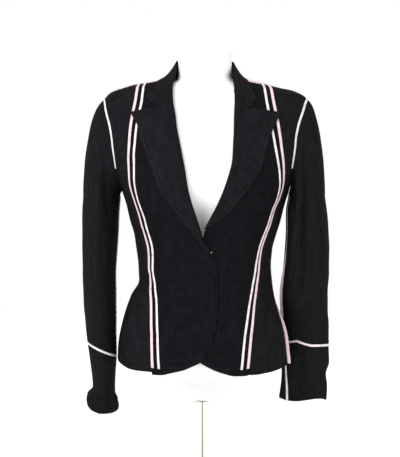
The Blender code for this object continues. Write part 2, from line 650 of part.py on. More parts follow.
def sleeve_normal(side, angle, level):
    """Outward from the sleeve; along the armhole it turns to the body's normal, as in a mitred seam."""
    level = np.clip(level, 0, 3)
    around = sleeve_point(side, angle + 0.5, level) - sleeve_point(side, angle - 0.5, level)
    down = (sleeve_point(side, angle, np.minimum(level + 0.01, 3))
            - sleeve_point(side, angle, np.maximum(level - 0.01, 0)))
    normal = unit(-side * np.cross(around, down))
    seam = body_normal(armhole_ring(side, angle))
    agree = smooth_step(((normal * seam).sum(-1) - 0.1) / 0.5) * (1 - smooth_step(level / 0.15))
    return unit(normal * (1 - agree[..., None]) + seam * agree[..., None])


def sleeve_levels(side):
    """The rows of a sleeve: its cap, then even steps down to the ribbon over the cuff's seam."""
    length = BICEPS_Z - CUFF_SEAM_Z[side]
    ribbon = 2 - RIBBON_WIDTHS["cuff"] / length
    return np.concatenate((CAP_LEVELS, np.linspace(1, ribbon, SLEEVE_ROWS + 1), [2.0]))


def cuff_levels():
    return np.linspace(2, 3, CUFF_ROWS + 1)


def ribbon_turn(side, levels):
    """The angle that a sleeve's seam ribbon takes at each level."""
    z = np.interp(levels, (1, 2, 3), (BICEPS_Z, CUFF_SEAM_Z[side], SLEEVE_END_Z[side]))
    return np.degrees(RIBBON_WIDTHS["sleeve"] / SLEEVE_AT[side]["deep"](z))


def seam_angle(ends, level):
    return ends[0] + (ends[1] - ends[0]) * smooth_step(level)


def columns_between(start, end):
    """The angles between two sleeve seams at which the panels have a row at the armhole."""
    front, back = 180 * ARMHOLE_SHARES - 90, 270 - 180 * ARMHOLE_SHARES
    angles = np.unique(np.round(np.concatenate((back - 360, front, back)), 6))
    return angles[(angles > start) & (angles < end)]


def under_angles(side, levels):
    seam = UNDER_ARM_ANGLE[side]
    between = columns_between(seam[0], FRONT_ARM_ANGLE[0])
    rows = []
    for level, turn in zip(levels, ribbon_turn(side, levels)):
        start = seam_angle(seam, level)
        rows.append(np.concatenate(([start, start + turn], between, [seam_angle(FRONT_ARM_ANGLE, level)])))
    return np.array(rows)


def upper_angles(side, levels):
    seam = UNDER_ARM_ANGLE[side]
    between = columns_between(FRONT_ARM_ANGLE[0], seam[0] + 360)
    return np.array([np.concatenate(([seam_angle(FRONT_ARM_ANGLE, level)], between,
                                     [seam_angle(seam, level) + 360])) for level in levels])


def cuff_angles(side, levels):
    """Columns all round a cuff, from its seam ribbon's two edges on."""
    count = 4 * CUFF_GATHERS["count"] if side == RIGHT else 28
    top, end = CUFF_SEAM_ANGLE[side]
    rows = []
    for level, turn in zip(levels, ribbon_turn(side, levels)):
        start = top + (end - top) * (level - levels[0])
        rows.append(np.append(start, np.linspace(start + turn, start + 360, count)[:-1]))
    return np.array(rows)


def sleeve_wall(name, side, angles, levels, lift, look, thickness=CLOTH, ring=False):
    level = np.repeat(np.asarray(levels)[:, None], angles.shape[1], axis=1)
    grid, normal = sleeve_point(side, angles, level), sleeve_normal(side, angles, level)
    if ring:
        grid[0] += unit(grid[1] - grid[0]) * CUFF_GAP
        grid[-1] += unit(grid[-2] - grid[-1]) * CUFF_GAP
    else:
        grid = pull_in(grid)
    return slab(name, grid + normal * lift, grid + normal * (lift - thickness), look, ring)


def add_sleeve(side, cloth, satin):
    name = NAMES[side]
    levels = sleeve_levels(side)
    under, upper = under_angles(side, levels), upper_angles(side, levels)
    sleeve_wall("under_sleeve_" + name, side, under, levels, 0, cloth)
    sleeve_wall("upper_sleeve_" + name, side, upper, levels, 0, cloth)
    top = LAY + RIBBON
    above_cuff = slice(len(CAP_LEVELS), -2)
    sleeve_wall("sleeve_seam_ribbon_" + name, side, under[above_cuff, :2], levels[above_cuff], top, satin,
                RIBBON)
    round_cuff = np.concatenate((under[-2:, :-1], upper[-2:, :-1]), axis=1)
    sleeve_wall("cuff_ribbon_" + name, side, round_cuff, levels[-2:], top, satin, RIBBON, ring=True)
    levels = cuff_levels()
    angles = cuff_angles(side, levels)
    sleeve_wall("cuff_" + name, side, angles, levels, 0, cloth, ring=True)
    sleeve_wall("cuff_seam_ribbon_" + name, side, angles[:, :2], levels, top, satin, RIBBON)


# --- Lapels and collar ---------------------------------------------------------------------------------

def lapel_lift(side, grid, s):
    """The outer face of a lapel above the body: it clears the front and the ribbons, and rolls."""
    climb = smooth_step((grid[..., 2] - LAPEL_CLIMB["from"]) / LAPEL_CLIMB["fade"])
    base = LAPEL_LAY + CLOTH + (RIBBON + LAY) * climb
    roll = LAPEL_ROLL * smooth_step(s / 0.15) * (1 - s) ** 1.5
    return overlap_lift(side, grid) + base + roll


def lapel_grid(side):
    foot = LAPEL_FOOT[side]
    keys = [foot] + [key for key in ROLL_LINE[side] if key[1] > foot[1] + 5]
    roll, edge = Path(face_points(side, keys)), Path(face_points(side, LAPEL_EDGE[side]))
    bottom = Path([roll(0.0), edge(0.0)])
    gorge = Path(face_points(side, [ROLL_LINE[side][-1], NOTCH[side]]))
    top_edge = Path(face_points(side, [NOTCH[side], LAPEL_EDGE[side][-1]]))
    top = Chain((gorge, LAPEL_GORGE_SHARE), (top_edge, 1 - LAPEL_GORGE_SHARE))
    s, v = np.meshgrid(np.linspace(0, 1, LAPEL_COLUMNS + 1), np.linspace(0, 1, LAPEL_ROWS + 1))
    grid = pull_in(on_body(coons(roll, edge, bottom, top, s, v)))
    return grid, lapel_lift(side, grid, s)


def collar_half(side):
    """Half of the collar's middle surface: rows from the front to the centre back, columns over the fold."""
    top = face_points(side, ROLL_LINE[side][-1:])[0]
    notch = face_points(side, [NOTCH[side]])[0]
    tip = face_points(side, [COLLAR_TIP[side]])[0]
    rise = LAY + CLOTH + RIBBON + LAY - CLOTH / 2
    lifted = [p + body_normal(p) * rise for p in (top, notch, tip)]
    fold_keys = mirrored(side, COLLAR_FOLD)
    spread = COLLAR_SPREAD[side] * np.linspace(1, 0, len(COLLAR_OUTER))
    outer_keys = on_body([(side * (x * MM + more), y * MM, z * MM)
                          for (x, y, z), more in zip(COLLAR_OUTER, spread)])
    outer_keys = list(outer_keys + body_normal(outer_keys) * COLLAR_CLEAR)
    fold = Path([lifted[0]] + fold_keys, fit=None)
    outer = Path([lifted[2]] + outer_keys, fit=None)
    front = Chain((Path(lifted[:2], fit=None), COLLAR_GORGE_SHARE),
                  (Path(lifted[1:], fit=None), 1 - COLLAR_GORGE_SHARE))
    back = Path([fold(1.0)] + mirrored(side, [COLLAR_BACK]) + [outer(1.0)], fit=None)
    u, k = np.meshgrid(np.linspace(0, 1, COLLAR_ROWS + 1), np.linspace(0, 1, COLLAR_COLUMNS + 1), indexing="ij")
    fall = coons(fold, outer, front, back, k, u)
    seat = on_body(fall)
    normal = body_normal(seat)
    off = ((fall - seat) * normal).sum(-1, keepdims=True)
    free = smooth_step(k / 0.3)[..., None] * COLLAR_CLEAR
    fall = fall + normal * np.maximum(free - off, 0)
    neck = Chain((neck_path(side), 0.5), (back_neck_path(side), 0.5))
    base = neck(np.linspace(0, 1, COLLAR_ROWS + 1)) + np.array((0, 0, COLLAR_SEAT))
    middle = 0.5 * (base + fall[:, 0])
    return np.concatenate((base[:, None], middle[:, None], fall), axis=1)


def add_collar(look):
    right, left = collar_half(RIGHT), collar_half(LEFT)
    grid = np.concatenate((right, left[-2::-1]))
    along = np.gradient(grid, axis=0)
    across = np.gradient(grid, axis=1)
    normal = unit(np.cross(across, along))
    if normal[0, -1, 1] > 0:
        normal = -normal
    grid = pull_in(grid)
    return slab("collar", grid + normal * CLOTH / 2, grid - normal * CLOTH / 2, look)


# --- The form and its stand ----------------------------------------------------------------------------

def form_ring(z):
    """One ring of the form, just inside the cloth and no wider than its own trunk."""
    angles = np.linspace(0, 360, FORM_SIDES, endpoint=False)
    hip = max(z, SEAT[-1][0] * MM)
    ring = np.array([ring_point(LEFT if angle <= 180 else RIGHT, min(angle, 360 - angle), hip)
                     for angle in angles])
    ease = BODY_EASE + (BODY_RIDE - BODY_EASE) * smooth_step((hip - 680 * MM) / (45 * MM))
    ring = ring - body_normal(ring) * (CLOTH + ease)
    limit = FORM_WIDTH(hip)
    reach = abs(ring[:, 0]) - (limit - FORM_EDGE)
    rounded = limit - FORM_EDGE * np.exp(-np.maximum(reach, 0) / FORM_EDGE)
    ring[:, 0] = np.where(reach > 0, np.sign(ring[:, 0]) * rounded, ring[:, 0])
    if z < hip:
        ring *= (SEAT_AT["width"](z) / MM, SEAT_AT["depth"](z) / MM, 0)
        ring[:, 2] = z
    return ring


def add_form(look):
    rings = [form_ring(h * MM) for h in [row[0] for row in SEAT] + FORM_RINGS]
    rings.append(form_ring(FORM_TOP - 2 * MM))
    rings.append(form_ring(FORM_TOP) * np.array((0.955, 0.955, 1)))
    points = np.concatenate(rings)
    points[:, 0] += GARMENT_X
    faces = [tuple(range(FORM_SIDES - 1, -1, -1))]
    for i in range(len(rings) - 1):
        for j in range(FORM_SIDES):
            k = (j + 1) % FORM_SIDES
            low, high = i * FORM_SIDES, (i + 1) * FORM_SIDES
            faces.append((low + j, low + k, high + k, high + j))
    faces.append(tuple((len(rings) - 1) * FORM_SIDES + j for j in range(FORM_SIDES)))
    return add_object("form", points, faces, look)


def add_stand(chrome):
    foot, pole = FOOT, POLE
    lathe("stand_foot", [(foot["radius"], 0), (foot["radius"], foot["height"] - foot["chamfer"]),
                         (foot["radius"] - foot["chamfer"], foot["height"])], pole["x"], chrome, 64)
    lathe("stand_pole", [(pole["radius"], foot["height"] + LAY), (pole["radius"], pole["top"])], pole["x"],
          chrome, 32)


SLEEVE_AT = {side: columns_of(rows, SLEEVE_COLUMNS) for side, rows in SLEEVES.items()}
SEAT_AT = columns_of(SEAT, SEAT_COLUMNS)
FORM_WIDTH = Curve([h * MM for h, _ in FORM_HALF_WIDTH], [w * MM for _, w in FORM_HALF_WIDTH])
ARMHOLES = {side: (armhole_path(side), armhole_path(side, back=True)) for side in (RIGHT, LEFT)}


def add_body(side, cloth, satin):
    name = NAMES[side]
    front = front_grid(side)
    lift = overlap_lift(side, front)
    wall("front_" + name, front, lift, cloth)
    ribbon_on("princess_ribbon_outer_" + name, front[1:, :2], lift[1:, :2], satin)
    ribbon_on("princess_ribbon_inner_" + name, front[1:, 2:4], lift[1:, 2:4], satin)
    side_front = side_front_grid(side)
    wall("side_front_" + name, side_front, 0, cloth)
    ribbon_on("armhole_ribbon_front_" + name, side_front[ARMHOLE_ROW + 3:, -2:], 0, satin)
    back = back_grid(side)
    wall("back_" + name, back, 0, cloth)
    ribbon_on("side_ribbon_" + name, back[:ARMHOLE_ROW + 1, -2:], 0, satin)
    ribbon_on("armhole_ribbon_back_" + name, back[ARMHOLE_ROW + 1:-2, -2:], 0, satin)
    neck_column = round(BACK_NECK_SHARE * BACK_COLUMNS)
    ribbon_on("shoulder_ribbon_" + name, back[-2:, neck_column + 1:], 0, satin)
    lapel, lapel_out = lapel_grid(side)
    wall("lapel_" + name, lapel, lapel_out, cloth)


def main():
    for old in list(bpy.data.objects):
        bpy.data.objects.remove(old, do_unlink=True)
    cloth = material("black_wool", (0.016, 0.016, 0.019), 0.85)
    satin = material("pink_satin", (0.86, 0.66, 0.70), 0.35)
    shell = material("white_shell", (0.85, 0.85, 0.86), 0.45)
    chrome = material("chrome", (0.8, 0.8, 0.8), 0.08, 1.0)
    for side in (RIGHT, LEFT):
        add_body(side, cloth, satin)
        add_sleeve(side, cloth, satin)
    add_collar(cloth)
    add_form(shell)
    add_stand(chrome)


main()
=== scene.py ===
"""Looks of a fitted, ribbon-trimmed blazer on a limbless dress form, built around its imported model.

Metres, +Z up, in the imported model's frame. The wearer faces -Y, so the wearer's right side is at -X.
Every panel of cloth is a patch between its seam lines on one smooth body surface, with its creases, its
turned edges and its stitching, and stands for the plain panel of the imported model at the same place.
"""

import math

import bpy
import numpy as np
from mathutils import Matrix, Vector


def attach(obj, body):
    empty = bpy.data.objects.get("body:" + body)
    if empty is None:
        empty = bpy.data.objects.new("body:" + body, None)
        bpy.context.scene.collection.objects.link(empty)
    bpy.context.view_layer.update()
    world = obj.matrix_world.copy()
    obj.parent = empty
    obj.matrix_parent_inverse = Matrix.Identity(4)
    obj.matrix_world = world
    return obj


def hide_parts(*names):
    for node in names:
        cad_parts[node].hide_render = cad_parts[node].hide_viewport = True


bl_info = {
    "name": "Ribbon-trimmed blazer",
    "version": (1, 0, 0),
    "blender": (4, 5, 0),
    "location": "View3D > Sidebar > Blazer",
    "description": "Dresses the packed blazer in cloth, satin ribbons, stitching and a studio",
    "category": "Object",
}

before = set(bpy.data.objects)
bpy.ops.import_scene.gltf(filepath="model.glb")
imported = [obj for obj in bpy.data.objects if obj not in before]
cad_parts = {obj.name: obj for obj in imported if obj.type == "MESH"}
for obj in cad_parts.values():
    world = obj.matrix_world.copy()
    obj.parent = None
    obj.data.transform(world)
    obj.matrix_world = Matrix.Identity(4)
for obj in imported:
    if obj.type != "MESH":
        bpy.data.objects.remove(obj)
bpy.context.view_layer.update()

MM = 0.001
RIGHT = -1
LEFT = 1
SIDES = (RIGHT, LEFT)
NAMES = {RIGHT: "right", LEFT: "left"}

# --- Driving dimensions ---------------------------------------------------------------------------------

CLOTH = 2.0 * MM            # outer cloth with its facing, as one wall
HALF_SEAM = 0.15 * MM       # each panel stops this far short of its seam line
LAY = 0.4 * MM              # gap between a piece and what it lies on
RIBBON = 0.9 * MM           # thickness of the satin ribbons
BODY_RIDE = 4.8 * MM        # gap between the cloth and the form where the cloth hangs from it
BODY_EASE = 5.0 * MM        # the same gap further down
LAPEL_LAY = 1.1 * MM        # gap between a lapel and its front
LAPEL_ROLL = 3.5 * MM       # how far a lapel bulges beside its roll line
RIBBON_WIDTHS = {"outer": 5.4 * MM, "inner": 4.3 * MM, "armhole": 3.8 * MM, "shoulder": 4.5 * MM,
                 "side": 6.0 * MM, "sleeve": 4.2 * MM, "cuff": 4.6 * MM}

# How far the right front stands off the body where it laps over the left one, from which line across the
# chest on, and up to which height; each change is spread over its own fade.
OVERLAP = {"lift": 3.4 * MM, "from": -95 * MM, "fade": 70 * MM, "up_to": 490 * MM, "fade_up": 80 * MM}
LAPEL_CLIMB = {"from": 630 * MM, "fade": 40 * MM}       # above it a lapel lies on the princess ribbons

# The outer face of the cloth: half widths and depths by height, in mm.
BODY_COLUMNS = ("height", "right", "left", "front", "back", "roundness")
BODY = [
    (190, 170.0, 162.0, 122, 120, 2.15),
    (225, 169.5, 160.5, 121, 119, 2.15),
    (250, 168.5, 157.5, 119, 118, 2.15),
    (269, 166.5, 154.5, 117, 116, 2.15),
    (298, 160.5, 147.5, 112, 111, 2.15),
    (326, 153.0, 139.0, 105, 104, 2.12),
    (355, 143.0, 131.0, 99, 97, 2.10),
    (384, 128.0, 126.8, 95, 91, 2.10),
    (413, 129.3, 125.2, 96, 89, 2.10),
    (442, 132.4, 127.0, 100, 92, 2.15),
    (470, 136.0, 134.5, 107, 98, 2.20),
    (495, 143.0, 142.5, 115, 104, 2.25),
    (528, 151.0, 150.5, 124, 110, 2.30),
    (557, 160.0, 160.0, 126, 115, 2.35),
    (600, 178.0, 178.0, 119, 121, 2.40),
    (640, 191.0, 191.0, 111, 121, 2.40),
    (680, 198.5, 198.5, 99, 114, 2.35),
    (705, 201.0, 200.5, 89, 103, 2.30),
    (730, 195.0, 194.0, 76, 86, 2.20),
    (736, 191.5, 187.5, 73, 82, 2.20),
    (745, 181.0, 168.0, 68, 75, 2.10),
    (751, 165.0, 143.0, 65, 70, 2.05),
    (757, 143.0, 117.0, 61, 66, 2.00),
    (764, 98.0, 84.0, 58, 62, 2.00),
    (772, 64.0, 63.0, 56, 60, 2.00),
    (785, 54.5, 54.5, 54, 58, 2.00),
    (800, 52.5, 52.5, 52, 57, 2.00),
    (834, 52.0, 52.0, 51, 56, 2.00),
]
RIDGE_FROM = 705            # the rows from this height up also give the line along the shoulders
BUST = {"rise": 9 * MM, "apart": 84 * MM, "height": 545 * MM, "wide": 44 * MM, "tall": 52 * MM}

SIDE_SEAM_ANGLE = 94        # from the centre front round to the centre back, in degrees
ARMHOLE_FOOT = 557 * MM
SHOULDER_TIP_X = 194 * MM
NECK_POINT_X = 66 * MM      # where the shoulder seam meets the neck seam
# The neck seam between the lapel, the shoulder seam and the centre back, in mm.
NECK_FRONT = [(61, -56, 752), (64, -30, 765)]
NECK_BACK = [(58, 24, 775), (34, 48, 779)]
BACK_NECK = (0, 58, 780)

# The seam between front and side front, and the middle of the second ribbon beside it, in mm.
PRINCESS_COLUMNS = ("height", "right", "right_gap", "left", "left_gap")
PRINCESS = [
    (211, 93.0, 16.0, 86.5, 15.0),
    (280, 96.4, 15.5, 93.0, 15.5),
    (330, 98.6, 15.5, 97.4, 14.5),
    (352, 99.4, 15.3, 99.4, 13.8),
    (375, 101.0, 14.6, 101.8, 13.0),
    (405, 103.8, 13.0, 105.3, 12.5),
    (444, 105.1, 14.0, 110.4, 10.5),
    (482, 114.6, 16.0, 123.0, 10.5),
    (518, 123.6, 17.0, 134.5, 11.0),
    (540, 131.3, 17.5, 143.5, 12.0),
    (560, 137.2, 19.0, 149.4, 13.5),
    (590, 139.9, 17.0, 153.0, 14.5),
    (637, 139.8, 15.0, 148.9, 15.5),
    (665, 138.6, 15.0, 145.2, 16.0),
    (705, 133.6, 16.0, 137.8, 16.0),
    (733, 129.6, 15.0, 132.2, 15.5),
]
PRINCESS_TOP_X = {RIGHT: 121.8 * MM, LEFT: 119.8 * MM}

# Points of a front as seen from straight ahead, from the overlapping side: x and z in mm.
FRONT_HEM = {
    RIGHT: [(93, 211), (76, 211), (57, 215), (32, 221)],
    LEFT: [(86.5, 211), (78, 210), (63, 210), (41, 215), (24, 221)],
}
FRONT_EDGE = {              # the cutaway corner and the edge up to the hook, past the centre line
    RIGHT: [(32, 221), (14, 229), (0, 236), (-11, 253), (-20, 277), (-26, 298), (-27.5, 326), (-27.5, 400),
            (-24, 421), (-17, 438)],
    LEFT: [(24, 221), (8, 229), (-3, 236), (-13, 253), (-20, 277), (-25, 298), (-26, 326), (-26, 400),
           (-23, 421), (-16, 438)],
}
ROLL_LINE = {
    RIGHT: [(-17, 438), (-3, 462), (0.5, 478), (7.5, 501), (15, 524), (23, 554), (29.5, 591), (39, 637),
            (46, 669), (50, 696), (54.5, 717), (57, 735)],
    LEFT: [(-16, 438), (-3, 462), (3.5, 479), (14.5, 499), (28.8, 525), (41.5, 554), (50.3, 581), (56.7, 609),
           (58, 637), (59, 669), (59, 696), (59.5, 717), (59, 735)],
}
LAPEL_EDGE = {
    RIGHT: [(-13.5, 437), (-8, 440), (12, 468), (33, 496), (60, 530), (76, 551), (84, 572), (92, 591),
            (103, 619), (114, 648), (120, 673), (128, 688), (136.5, 701)],
    LEFT: [(8, 483), (35, 499), (56, 517), (78, 545), (96, 569), (111, 597), (119, 628), (126.5, 656),
           (145, 699)],
}
LAPEL_FOOT = {RIGHT: (-16.6, 438.9), LEFT: (5, 481.5)}
NOTCH = {RIGHT: (82.5, 707.5), LEFT: (86, 705)}
COLLAR_TIP = {RIGHT: (108, 729), LEFT: (101.5, 725)}

ARMHOLE_FRONT = [(162, 568), (167.5, 595), (171.5, 622), (174.5, 646), (179.5, 673), (187, 700), (192.3, 718)]
ARMHOLE_BACK = [(162, 568), (166.5, 595), (169, 622), (172, 646), (177.5, 673), (185.5, 700), (191.8, 718)]
SIDE_HEM = {                # the hem of a side front, between the princess seam and the side seam
    RIGHT: [(123, 217), (140, 219.5), (155.5, 225)],
    LEFT: [(100, 211.5), (116, 213.5), (133, 216.5), (146, 220)],
}
SIDE_SEAM_FOOT = {RIGHT: 238 * MM, LEFT: 226 * MM}
BACK_HEM_Z = 224 * MM
HEM_STEP = 5 * MM           # the side fronts and backs are this much shorter than the fronts at the seam

# Sleeves by the height of the arm's middle, in mm: outer and inner edge, middle ahead of (+) or behind (-)
# the shoulder, half depth, and how much higher the outer edge of the ring lies than the inner one.
SLEEVE_COLUMNS = ("height", "outer", "inner", "ahead", "deep", "rise")
SLEEVES = {
    RIGHT: [
        (131, 206.0, 176.0, 20, 29, 0),
        (136, 218.0, 169.0, 20, 38, 1),
        (145, 224.5, 166.5, 20, 44, 2),
        (156, 226.0, 167.5, 20, 46, 4),
        (166, 224.0, 170.0, 19, 45, 7),
        (176, 214.5, 173.0, 19, 42, 10),
        (200, 217.0, 173.5, 18, 43, 18),
        (251, 225.5, 171.0, 14, 45, 27),
        (298, 230.5, 172.0, 9, 48, 14),
        (345, 234.0, 172.8, 5, 51, 4),
        (400, 236.8, 173.6, 1, 54, 0),
        (460, 238.0, 170.3, -3, 57, 0),
        (518, 238.0, 167.5, -4, 60, 0),
        (545, 236.5, 166.0, -4, 61, 0),
    ],
    LEFT: [
        (152, 232.5, 139.5, -62, 38, 0),
        (178, 233.5, 143.0, -65, 37, 0),
        (200, 231.0, 144.4, -68, 37, 0),
        (224, 237.5, 145.0, -70, 37, 0),
        (260, 236.7, 145.5, -69, 38, 0),
        (298, 236.7, 145.0, -62, 40, 0),
        (326, 234.3, 143.8, -53, 42, 0),
        (355, 234.3, 142.5, -43, 45, 0),
        (400, 237.0, 147.5, -29, 48, 0),
        (442, 237.0, 151.5, -18, 52, 0),
        (480, 235.8, 153.3, -10, 56, 0),
        (518, 232.7, 154.2, -5, 60, 0),
        (545, 229.0, 158.5, -3, 61, 0),
    ],
}
BICEPS_Z = 545 * MM
CUFF_SEAM_Z = {RIGHT: 251 * MM, LEFT: 260 * MM}
SLEEVE_END_Z = {RIGHT: 131 * MM, LEFT: 152 * MM}
# A sleeve's front seam and its under seam at the armhole and on the arm, in degrees outwards from straight
# ahead, and the cuff's own seam at its top and at its end.
FRONT_ARM_ANGLE = (9, 14)
UNDER_ARM_ANGLE = {RIGHT: (-115.2, -104), LEFT: (-90, -78)}
CUFF_SEAM_ANGLE = {RIGHT: (-104, -102), LEFT: (-70, -43)}
CUFF_GATHERS = {"count": 25, "rise": 1.25 * MM, "top": 182 * MM, "full": 158 * MM}
CUFF_WAVE = {"count": 3, "rise": 2.2 * MM, "top": 200 * MM}
ARMHOLE_GAP = 0.6 * MM      # a sleeve starts this far outside the armhole
CUFF_GAP = 0.3 * MM         # and a cuff this far below its seam line
SLEEVE_LEAVE = (0.92, -0.39)            # which way it leaves the armhole: outwards and up
CAP_SPRING = {RIGHT: 0.5, LEFT: 0.38}   # how strongly a sleeve's cap springs outwards from the armhole

COLLAR_SEAT = 1.2 * MM      # the stand's foot is this far above the neck seam
COLLAR_CLEAR = 2.0 * MM     # from the body surface to the middle of the collar's fall
# Collar: the fold that stands round the neck and the outer edge that lies on the shoulders, in mm.
COLLAR_FOLD = [(57.5, -64, 748), (56, -56, 756), (53, -44, 766), (53, -32, 777), (54.5, -12, 793),
               (54, 4, 803), (50.5, 24, 808), (41, 43, 810), (24, 56, 811), (0, 61.5, 811.5)]
COLLAR_OUTER = [(95, -46, 742), (88, -20, 758), (84.5, 2, 763), (77, 32, 760), (62, 53, 757), (38, 64, 755),
                (0, 68, 754.5)]
COLLAR_FOLD_MOVE = {RIGHT: (-1.0, 8.5), LEFT: (-3.2, -2.4)}    # outward and up, most of it beside the neck
COLLAR_MOVE_AT = {"ahead": 11, "reach": 22}
COLLAR_BACK = (0, 68, 784)  # the middle of its fall at the centre back
COLLAR_SPREAD = {RIGHT: -4.5 * MM, LEFT: -9.5 * MM}    # how much further out its edge crosses each shoulder

# Form: its seat under the blazer's hem, as shares of its section at the hip by height in mm, and half the
# width of its trunk by height, in mm.
SEAT_COLUMNS = ("height", "width", "depth")
SEAT = [
    (152.4, 0.05, 0.07),
    (153.2, 0.105, 0.14),
    (155.0, 0.14, 0.18),
    (158, 0.165, 0.21),
    (162, 0.183, 0.23),
    (168, 0.20, 0.25),
    (176, 0.24, 0.30),
    (186, 0.38, 0.45),
    (197, 0.57, 0.64),
    (209, 0.76, 0.81),
    (224, 0.91, 0.93),
    (250, 1.0, 1.0),
]
FORM_HALF_WIDTH = [(250, 145), (298, 140), (355, 127), (384, 122.5), (442, 126), (495, 137), (557, 150),
                   (600, 153), (640, 157), (680, 163), (705, 171), (720, 178), (736, 181), (745, 172)]
FORM_EDGE = 22 * MM         # how gradually the form's trunk turns into its flat sides
FORM_TOP = 829 * MM
FORM_RIM = 6 * MM           # rounding round the top of the neck
FORM_SIDES = 128
EASE_CHANGE = {"from": 680 * MM, "fade": 45 * MM}       # where BODY_EASE turns into BODY_RIDE
POLE = {"x": 0.0, "radius": 14.5 * MM, "top": 152 * MM}
FOOT = {"radius": 150 * MM, "height": 12 * MM, "chamfer": 3 * MM}
GARMENT_X = 8 * MM          # the garment's centre line lies this far to the left of the pole

# Marks along the panels that their seams share.
RIBBON_START_SHARE = 0.022  # the ribbons down the fronts stop this far above the hem
SIDE_SEAM_SHARE = 0.60
FRONT_EDGE_SHARES = (0.40, 0.50, 0.10)
BACK_NECK_SHARE = 0.375
LAPEL_GORGE_SHARE = 1 / 3
COLLAR_GORGE_SHARE = 3 / 5


# --- Smooth lines and the body surface ------------------------------------------------------------------

class Curve:
    """A smooth function through the points of a table, which never swings past them."""

    def __init__(self, xs, ys):
        self.x, self.y = np.array(xs, float), np.array(ys, float)
        rise = np.diff(self.y) / np.diff(self.x)
        before, after = rise[:-1], rise[1:]
        total = np.where(before * after > 0, before + after, 1)
        inner = np.where(before * after > 0, 2 * before * after / total, 0)
        self.slope = np.concatenate((rise[:1], inner, rise[-1:]))

    def __call__(self, x):
        x = np.clip(x, self.x[0], self.x[-1])
        k = np.clip(np.searchsorted(self.x, x, side="right") - 1, 0, len(self.x) - 2)
        h = self.x[k + 1] - self.x[k]
        t = (x - self.x[k]) / h
        ends = self.y[k] * (1 + 2 * t) * (1 - t) ** 2 + self.y[k + 1] * t * t * (3 - 2 * t)
        return ends + h * (self.slope[k] * t * (1 - t) ** 2 + self.slope[k + 1] * t * t * (t - 1))


def columns_of(rows, names):
    """A table in mm as one smooth function of height for each of its other columns, in metres."""
    heights = [row[0] * MM for row in rows]
    return {name: Curve(heights, [row[k] * MM for row in rows])
            for k, name in enumerate(names) if k > 0}


BODY_AT = columns_of(BODY, BODY_COLUMNS)
RIDGE_ROWS = [row for row in reversed(BODY) if row[0] >= RIDGE_FROM]
RIDGE = {side: Curve([row[BODY_COLUMNS.index(NAMES[side])] * MM for row in RIDGE_ROWS],
                     [row[0] * MM for row in RIDGE_ROWS]) for side in SIDES}


def unit(v):
    return v / np.linalg.norm(v, axis=-1, keepdims=True)


def reach_of(points):
    """How far each point of a line is from its start, along the line."""
    return np.concatenate(([0], np.cumsum(np.linalg.norm(np.diff(points, axis=0), axis=1))))


def closed(grid):
    """A grid of points round a ring, with its first column again as its last one."""
    return np.concatenate((grid, grid[:, :1]), axis=1)


def smooth_step(t):
    t = np.clip(t, 0, 1)
    return t * t * (3 - 2 * t)


def half_width(x, z):
    """The body's half width at a height, on the side that x lies on."""
    return np.where(x < 0, BODY_AT["right"](z), BODY_AT["left"](z))


def depth(x, y, z):
    """The body's depth at a height, in front with its bust and behind."""
    across = (abs(x) - BUST["apart"]) / BUST["wide"]
    up = (z - BUST["height"]) / BUST["tall"]
    front = BODY_AT["front"](z) + BUST["rise"] * np.exp(-across ** 2 - up ** 2)
    return np.where(y > 0, BODY_AT["back"](z), front)


def body_level(p):
    """1 on the body surface, less inside it and more outside."""
    x, y, z = p[..., 0], p[..., 1], p[..., 2]
    n = BODY_AT["roundness"](z) / MM
    return ((abs(x) / half_width(x, z)) ** n + (abs(y) / depth(x, y, z)) ** n) ** (1 / n)


def body_slope(p, step=0.2 * MM):
    shifts = np.eye(3) * step
    return np.stack([body_level(p + s) - body_level(p - s) for s in shifts], axis=-1) / (2 * step)


def body_normal(p):
    return unit(body_slope(p))


def on_body(p):
    """The points of the body surface next to the given ones."""
    p = np.array(p, float)
    for _ in range(FIT_STEPS):
        slope = body_slope(p)
        p = p - (body_level(p) - 1)[..., None] * slope / (slope ** 2).sum(-1, keepdims=True)
    return p


def face_point(side, x, z, back=False):
    """The point of a side's front or back that lies at x and z as seen from straight ahead."""
    x, z = side * x, z * 1.0
    n = BODY_AT["roundness"](z) / MM
    share = np.clip(abs(x) / half_width(x, z), 0, 1) ** n
    ahead = 1 if back else -1
    return np.array((x, ahead * depth(x, ahead, z) * (1 - share) ** (1 / n), z))


def face_points(side, table, back=False):
    return [face_point(side, x * MM, z * MM, back) for x, z in table]


def ring_point(side, angle, z):
    """A point at a height, by its angle from the centre front round to the centre back."""
    n = BODY_AT["roundness"](z) / MM
    across, ahead = math.sin(math.radians(angle)), math.cos(math.radians(angle))
    x = side * half_width(side, z) * abs(across) ** (2 / n)
    y = -math.copysign(1, ahead) * depth(x, -ahead, z) * abs(ahead) ** (2 / n)
    return np.array((float(x), float(y), z))


def mirrored(side, table):
    """A side's own points, from a table in mm for the wearer's left side."""
    return [(side * x * MM, y * MM, z * MM) for x, y, z in table]


def shoulder_point(side, x):
    return np.array((side * x, 0.0, float(RIDGE[side](x))))


class Path:
    """A smooth line through its key points, read by its share of length from 0 to 1."""

    def __init__(self, keys, fit=on_body):
        keys = np.array(keys, float)
        reach = reach_of(keys)
        dense = np.linspace(0, reach[-1], PATH_POINTS)
        points = np.stack([Curve(reach, keys[:, k])(dense) for k in range(3)], axis=-1)
        self.points = fit(points) if fit else points
        self.reach = reach_of(self.points)
        self.length = self.reach[-1]

    def __call__(self, t):
        at = np.asarray(t) * self.length
        return np.stack([np.interp(at, self.reach, self.points[:, k]) for k in range(3)], axis=-1)


